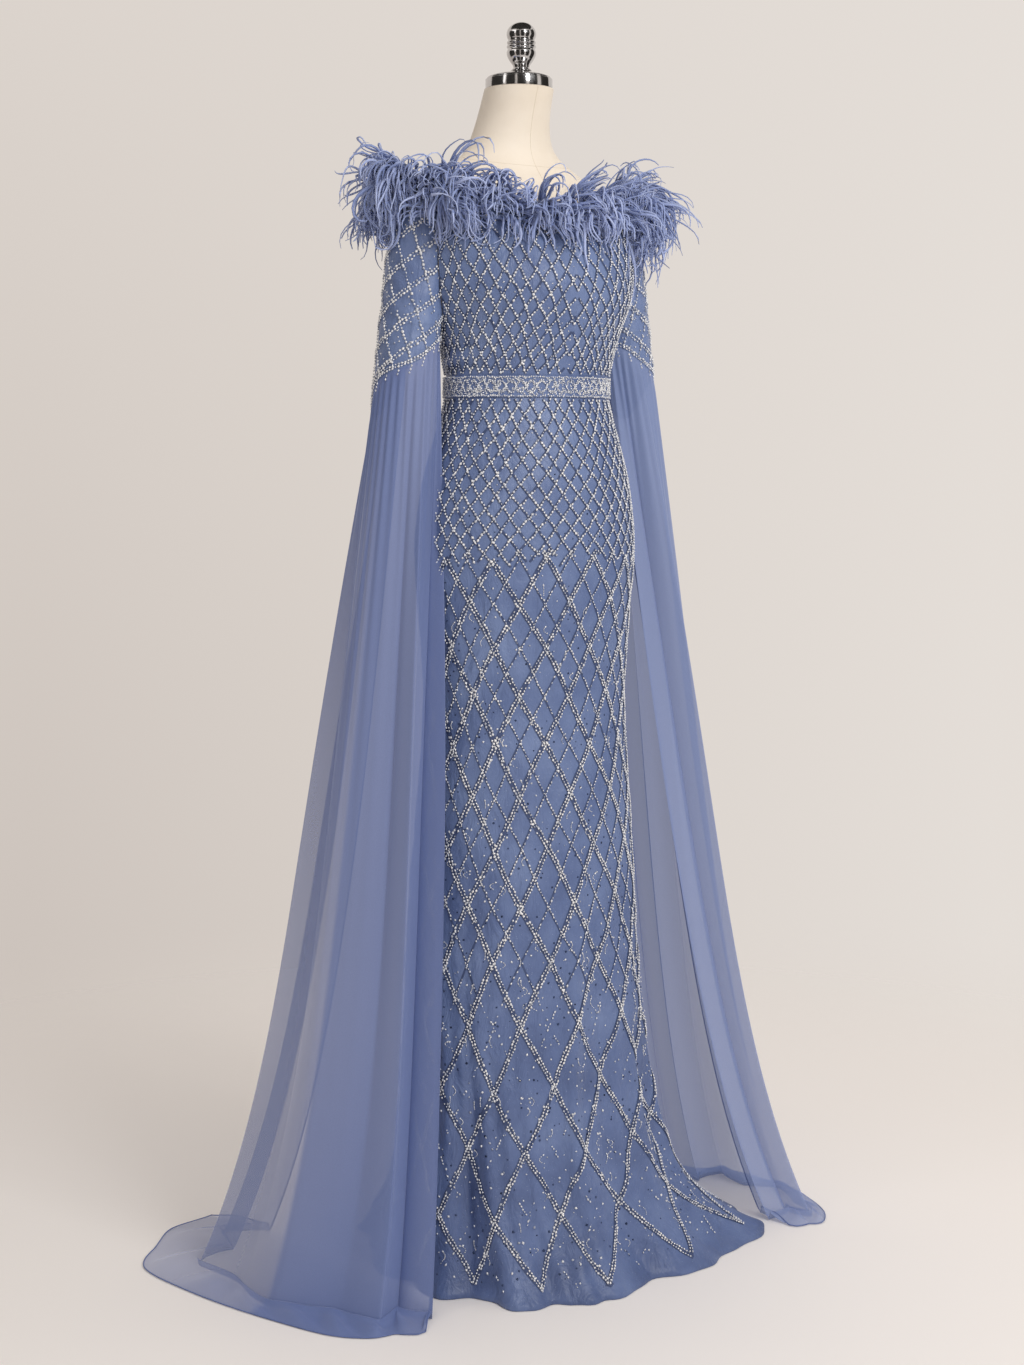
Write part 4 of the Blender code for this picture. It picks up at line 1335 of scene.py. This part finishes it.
def beadSkirt():
    stores, dusk, shadowThreads = {"front": BeadStore(), "back": BeadStore()}, BeadStore(), []
    sewSkirtLines(stores, shadowThreads)
    scatterSkirt(stores, dusk)
    sewSprigs(stores)
    for word, store in stores.items():
        keep(store.build("beads_skirt_" + word, silver), "beaded_satin")
    keep(dusk.build("sequins_skirt", duskBeads), "beaded_satin")
    keep(netting("netting_skirt", skirtSurface, shadowThreads), "beaded_satin")


bodiceBeads = {
    # turns for a metre of rise, offset in turns, and each line's beads: spacing, length, width, height
    "families": (
        (0.62, 0.0, (0.0042, 0.0042, 0.0033, 0.0029)),
        (-1.15, 0.010, (0.0044, 0.0041, 0.0030, 0.0025)),
    ),
    "step": 1 / (26 * 1.7),
    "armClear": 0.002,
    "neckClear": 0.012,
    "beltClear": 0.018,
    "shadowThread": 0.0034,
    "loose": 700,
}


def beadBodice():
    look = bodiceBeads
    store, shadowThreads = BeadStore(), []
    waist, neck = bodyShape["waist"], bodyShape["neckline"] - look["neckClear"]
    heights = np.linspace(waist + look["beltClear"], neck, 200)
    rise = heights - waist
    for half in (-1, 1):
        for rate, offset, bead in look["families"]:
            for k in range(-28, 64):
                reach = k * look["step"] + offset + rate * rise * (1 - 0.9 * rise)
                reach = reach + 0.0022 * np.sin(heights * 70 + 3 * k)
                turn = half * reach
                inArm = armShare(skirtSurface(heights, turn), look["armClear"]) < 1
                shown = (reach > 0) & (reach < 0.5) & ~(inArm & (heights > bodyShape["armpit"]))
                for run in shownRuns(shown):
                    shadowThreads.append((heights[run], turn[run], look["shadowThread"]))
                    sewRow(store, skirtSurface, heights[run], turn[run], bead)
    count = look["loose"]
    level = waist + 0.02 + (neck - waist - 0.02) * chance.random(count)
    turn = chance.random(count) - 0.5
    place = skirtSurface(level, turn)
    free = armShare(place, look["armClear"]) > 1
    normal = normalsOf(skirtSurface, level, turn)
    size = (0.0014 + 0.0014 * chance.random(count))[free]
    heading = unit(chance.normal(size=place.shape))
    at = (place + normal * 0.0005)[free]
    store.add(at, heading[free], normal[free], size * 1.4, size, size * 0.7)
    keep(store.build("beads_bodice", silver), "beaded_satin")
    keep(netting("netting_bodice", skirtSurface, shadowThreads), "beaded_satin")


beltPiece = {
    "height": 0.029,
    "thickness": 0.0026,
    "clear": 0.0007,
    "columns": 240,
    "crown": 0.0010,
    "edgeRows": 0.0126,  # the outer rows, from the belt's middle
    "edgeBead": (0.0031, 0.0030, 0.0026, 0.0022),
    "waves": 26,
    "waveHeight": 0.0082,
    "waveBead": (0.0030, 0.0030, 0.0021, 0.0024),
    "loose": 1300,
}


def makeBelt():
    belt, waist = beltPiece, bodyShape["waist"]
    count, half = belt["columns"], belt["height"] / 2
    angles = np.arange(count) * 2 * math.pi / count
    profile = []
    for k in range(13):
        angle = math.pi * (k / 12 - 0.5)
        out = belt["thickness"] * (0.25 + 0.75 * math.cos(angle) ** 0.6)
        profile.append((out, half * math.sin(angle)))
    profile += [(0.0, half - 0.0008), (0.0, 0.0008 - half)]
    grid = np.stack([bodyAt(waist + up, angles, belt["clear"] + out) for out, up in profile])
    # the last row of the profile joins the first
    quads = gridFaces(len(grid) + 1, count, ring=True, flip=True) % (len(grid) * count)
    keep(meshFrom("belt_band", grid, [quads], satin), "bead_belt", "belt")

    store = BeadStore()
    lift = belt["clear"] + belt["thickness"] * 0.96

    def surface(height, turn, out=0.0):
        crown = belt["crown"] * ((height - waist) / half) ** 4
        return bodyAt(height, turn * 2 * math.pi, out + lift - crown)
    turn = np.linspace(0, 1, 1600)
    for offset in (-belt["edgeRows"], belt["edgeRows"]):
        sewRow(store, surface, waist + offset + 0 * turn, turn, belt["edgeBead"])
    for flip in (0, math.pi):
        for shift in (-0.0010, 0.0012):
            wave = belt["waveHeight"] * np.sin(2 * math.pi * belt["waves"] * turn + flip)
            sewRow(store, surface, waist + shift + wave, turn, belt["waveBead"])
    level = waist + 0.0132 * (2 * chance.random(belt["loose"]) - 1)
    around = chance.random(belt["loose"])
    place = surface(level, around)
    normal = normalsOf(surface, level, around)
    size = 0.0015 + 0.0015 * chance.random(belt["loose"])
    heading = unit(chance.normal(size=place.shape))
    store.add(place + normal * 0.0004, heading, normal, size * 1.4, size, size * 0.9)
    keep(store.build("beads_belt", silver), "bead_belt")


sleeveBeads = {
    "round": 10,  # steep lines round the arm
    "steepLean": 1.5,  # turns of a steep line for a metre of rise
    "steepBead": (0.0048, 0.0047, 0.0038, 0.0030),
    "shallowStep": 0.042,
    "shallowRise": 0.200,  # rise of a shallow line for a whole turn of the arm
    "shallowBead": (0.0048, 0.0046, 0.0036, 0.0030),
    "rowApart": 0.0021,
    "edgeRows": (0.0030, 0.0066),
    "edgeBead": (0.0045, 0.0044, 0.0034, 0.0027),
    "dropStep": 23.0,  # degrees round the edge from one drop to the next
    "dropFirst": 0.0026,  # from the edge down to a drop's first bead
    "dropNext": 0.0046,
    "dropBead": (0.0048, 0.0032, 0.0028),  # length, width, height
    "loose": 520,
}


def beadSleeve(word, side):
    look, store = sleeveBeads, BeadStore()

    def surface(height, turn, out=0.0):
        return armAt(side, height, turn * 360, out)

    def shownAt(height, turn):
        degrees = np.mod(turn, 1) * 360
        edge = tableAt(armShape["edge"], degrees)[:, 0]
        start, end = sleeveTurns(side, np.minimum(height, 1.5))
        top = bodyShape["neckline"] - 0.012
        return (height > edge + 0.003) & (height < top) & (degrees > start + 1) & (degrees < end - 1)

    def sewShown(heights, turns, bead, aside=0.0):
        for run in shownRuns(shownAt(heights, turns)):
            sewRow(store, surface, heights[run], turns[run], bead, aside)
    heights = np.linspace(1.19, 1.50, 260)
    for k in range(look["round"]):
        turns = (k + 0.5) / look["round"] + look["steepLean"] * (heights - 1.30)
        sewShown(heights, np.mod(turns, 1), look["steepBead"])
    turns = np.linspace(0.0, 1.0, 260)
    for k in range(-2, 10):
        heights = 1.17 + k * look["shallowStep"] + look["shallowRise"] * (0.75 - turns)
        for aside in (-look["rowApart"], look["rowApart"]):
            sewShown(heights, turns, look["shallowBead"], aside)
    degrees = np.linspace(2, 358, 420)
    edge = tableAt(armShape["edge"], degrees)[:, 0]
    for rise in look["edgeRows"]:
        sewRow(store, surface, edge + rise, degrees / 360, look["edgeBead"])
    # drops of two or three beads hang from the edge
    for degree in np.arange(20, 350, look["dropStep"]):
        low = tableAt(armShape["edge"], degree)[0]
        length, width, height = look["dropBead"]
        for part in range(2 + int(2 * chance.random())):
            level = low - look["dropFirst"] - look["dropNext"] * part
            place = armAt(side, np.array([level]), np.array([degree + 1.5 * part]), 0.0008)
            normal = unit(place - np.array([[side * 0.184, 0.022, level]]))
            store.add(place, np.array([[0, 0, 1.0]]), normal, length - 0.0004 * part, width, height)
    level, turn = 1.20 + 0.29 * chance.random(look["loose"]), chance.random(look["loose"])
    shown = shownAt(level, turn)
    level, turn = level[shown], turn[shown]
    place, normal = surface(level, turn, 0.0008), normalsOf(surface, level, turn)
    size = 0.0016 + 0.0014 * chance.random(len(level))
    store.add(place, unit(chance.normal(size=place.shape)), normal, size * 1.3, size, size * 0.9)
    keep(store.build("beads_sleeve_" + word, silver), "beaded_satin")


beadSkirt()
beadBodice()
makeBelt()
for word, side in sides:
    beadSleeve(word, side)
print("beads sewn")


# Feather trim: tufts of fine barbs that rise, arch and fall
trimLook = {
    "steps": 14,
    "rootRadius": 0.00225,
    "tipRadius": 0.00054,
    "flat": 0.60,
    "strip": 0.024,  # height of the backing strip
    "clear": 0.0045,
    # how much tufts differ from each other
    "tuftSpread": {"rise": 14, "heading": 0.38, "swirl": 1.1},
    # how much the barbs of one tuft differ
    "barbSpread": {"rise": 0.13, "heading": 0.16, "fall": 0.26, "swirl": 0.40, "bend": 0.08, "beat": 0.05},
    "rootSpread": 0.0034,
    "wild": 0.10,  # share of the barbs that go their own way
    "hooked": 0.3,  # share of them with a hooked tip
    "wave": 0.48,
    "sway": 0.65,
}
# rise: degrees at the strip's top and bottom; length and drop: smallest and largest
# endLift: how much longer the tufts are at a trim's ends; bare: where they are shorter, how wide and how much
trims = {
    "feather_front": {
        "tufts": 72, "barbs": 9, "rise": (78, -5), "length": (0.062, 0.096), "drop": (1.9, 3.3),
        "endLift": 0.22, "bare": (0.5, 0.10, 0.0),
    },
    "feather_back": {
        "tufts": 48, "barbs": 9, "rise": (74, -10), "length": (0.060, 0.090), "drop": (1.9, 3.1),
        "endLift": 0.10, "bare": (0.5, 0.10, 0.0),
    },
    "feather_shoulder_right": {
        "tufts": 70, "barbs": 10, "rise": (54, -35), "length": (0.078, 0.120), "drop": (1.8, 3.0),
        "endLift": 0.25, "bare": (0.28, 0.13, 0.42),
    },
    "feather_shoulder_left": {
        "tufts": 70, "barbs": 10, "rise": (46, -35), "length": (0.076, 0.118), "drop": (1.8, 3.0),
        "endLift": 0.15, "bare": (0.5, 0.10, 0.0),
    },
}


def trimRoots(name, along, down):
    # where a tuft springs from: along the cloth's edge, and down its backing strip
    top = bodyShape["neckline"] - 0.002
    drop = trimLook["strip"] * down
    if name in ("feather_front", "feather_back"):
        back = name == "feather_back"
        dip = clothPiece["dipBack"] if back else clothPiece["dipFront"]
        reach = panelReach(np.array([bodyShape["neckline"] - 0.02]), back)[0] + 0.02
        across = 2 * along - 1
        height = top - dip * (1 - across ** 2) - drop
        angle = (math.pi if back else 0.0) + reach * across
        point = bodyAt(height, angle, 0.002)
        return point, unit(bodyAt(height, angle, 0.012) - point)
    side = -1.0 if name.endswith("right") else 1.0
    start, end = (value[0] for value in sleeveTurns(side, np.array([bodyShape["neckline"]])))
    turn = start - 6 + (end - start + 12) * along
    height = top + armShape["topRise"] * np.sin(math.pi * along) ** 2 - drop
    point = armAt(side, height, turn, 0.002)
    return point, unit(armAt(side, height, turn, 0.012) - point)


def pushOut(points, clear):
    # keeps barbs outside the bodice, the form's shoulders and the sleeves
    left, right, front, back, middle = np.moveaxis(tableAt(bodyShape["rows"], points[..., 2]), -1, 0)
    side = np.where(points[..., 0] >= 0, left, right) + clear
    depth = np.where(points[..., 1] < middle, front, back) + clear
    far = np.sqrt((points[..., 0] / side) ** 2 + ((points[..., 1] - middle) / depth) ** 2)
    scale = np.where(far < 1, 1 / np.maximum(far, 0.2), 1.0)
    points = points.copy()
    points[..., 0] *= scale
    points[..., 1] = middle + (points[..., 1] - middle) * scale
    away, middle, _, _ = np.moveaxis(tableAt(armShape["rows"], points[..., 2]), -1, 0)
    far = armShare(points, clear)
    inside = (far < 1) & (points[..., 2] < armShape["rows"][-1][0])
    scale = np.where(inside, 1 / np.maximum(far, 0.2), 1.0)
    points[..., 0] = np.sign(points[..., 0]) * (away + (np.abs(points[..., 0]) - away) * scale)
    points[..., 1] = middle + (points[..., 1] - middle) * scale
    return points


def between(limits, share):
    return limits[0] + (limits[1] - limits[0]) * share


def makeTrim(name, seed):
    trim, look = trims[name], trimLook
    luck = np.random.default_rng(seed)
    tufts, barbs, steps = trim["tufts"], trim["barbs"], look["steps"]
    count = tufts * barbs
    differ, spread = look["tuftSpread"], look["barbSpread"]

    # each tuft: its root, its rise from level, its heading, length, fall, swirl and wave
    along = (np.arange(tufts) + 0.8 * luck.random(tufts)) / tufts
    down = luck.random(tufts)
    root, out = trimRoots(name, along, down)
    rise = np.radians(between(trim["rise"], down ** 0.8) + differ["rise"] * luck.normal(size=tufts))
    heading = np.arctan2(out[:, 1], out[:, 0]) + differ["heading"] * luck.normal(size=tufts)
    length = between(trim["length"], luck.random(tufts))
    fall = between(trim["drop"], luck.random(tufts))
    nearEnd = np.abs(2 * along - 1) ** 3
    place, width, share = trim["bare"]
    length *= (1 + trim["endLift"] * nearEnd) * (1 - share * np.exp(-((along - place) / width) ** 2))
    rise += 1.4 * trim["endLift"] * nearEnd
    swirl = differ["swirl"] * luck.normal(size=tufts)
    bend, beat = luck.random(tufts), 0.6 + 0.7 * luck.random(tufts)

    # each barb differs a little from its tuft, and a few go their own way
    def each(values, kind):
        return (values[:, None] + spread[kind] * luck.normal(size=(tufts, barbs))).ravel()
    rise, heading = each(rise, "rise"), each(heading, "heading")
    fall, swirl = each(fall, "fall"), each(swirl, "swirl")
    bend, beat = each(bend, "bend")[:, None], each(beat, "beat")[:, None]
    length = (length[:, None] * (0.55 + 0.60 * luck.random((tufts, barbs)))).ravel()
    wild = luck.random(count) < look["wild"]
    swirl = np.where(wild, swirl + 2.5 * luck.normal(size=count), swirl)
    hooked = luck.random(count) < look["hooked"]
    hook = np.where(hooked, 1.6 * luck.normal(size=count), 0.2)[:, None]

    # a barb is walked in short steps, and its lean and turn change on the way
    t = np.linspace(0, 1, steps)[None]
    wave = look["wave"] * np.sin(2 * math.pi * (t * beat + bend))
    lean = rise[:, None] - fall[:, None] * t ** 1.5 + wave
    lean = np.minimum(lean, 1.40 - 1.5 * t) + hook * np.clip(t - 0.6, 0, 1) ** 2 * 4
    turn = heading[:, None] + swirl[:, None] * t ** 2 + look["sway"] * np.sin(6 * t + 6.3 * bend)
    step = np.stack([np.cos(lean) * np.cos(turn), np.cos(lean) * np.sin(turn), np.sin(lean)], -1)
    step = step * (length / (steps - 1))[:, None, None]
    astray = look["rootSpread"] * luck.normal(size=(count, 3)).clip(-2, 2)
    start = np.repeat(root, barbs, axis=0) + astray
    walked = np.concatenate([np.zeros((count, 1, 3)), np.cumsum(step[:, :-1], axis=1)], 1)
    paths = pushOut(start[:, None] + walked, look["clear"])
    thick = (0.55 + 0.75 * luck.random(count))[:, None]
    radii = thick * (look["rootRadius"] * (1 - 0.9 * t ** 2.2) + look["tipRadius"])
    points, quads, ends = tubes(paths, radii, sides=3, flat=look["flat"], seed=seed)
    piece = meshFrom(name + "_barbs", points, [quads, ends], plume)
    # the shade runs from painted shade at the root to a painted highlight at the tip, with a random tone per
    # tuft and barb
    tone = np.repeat(luck.normal(size=tufts) * 0.10, barbs) + 0.12 * luck.normal(size=count)
    shade = np.clip(0.30 + tone[:, None] + 0.55 * t ** 0.7, 0, 1)
    setShade(piece, np.repeat(shade[..., None], 3, axis=2))
    keep(piece, "feather", name)


for seed, name in enumerate(trims, start=40):
    makeTrim(name, seed)
print("feathers made")

# What is cloth, and the area of each piece as made
sheets = [(piece, []) for piece in (*skirts, *bodices, *sleeves)]
sheets += [(piece, [edge]) for piece, edge in capes]
for piece, edges in sheets:
    print("area", piece.name, round(sum(face.area for face in piece.data.polygons), 3))

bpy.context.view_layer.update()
meshes = [piece.data for piece in bpy.data.objects if piece.type == "MESH"]
print("triangles", sum(len(face.vertices) - 2 for mesh in meshes for face in mesh.polygons))
print("all made")
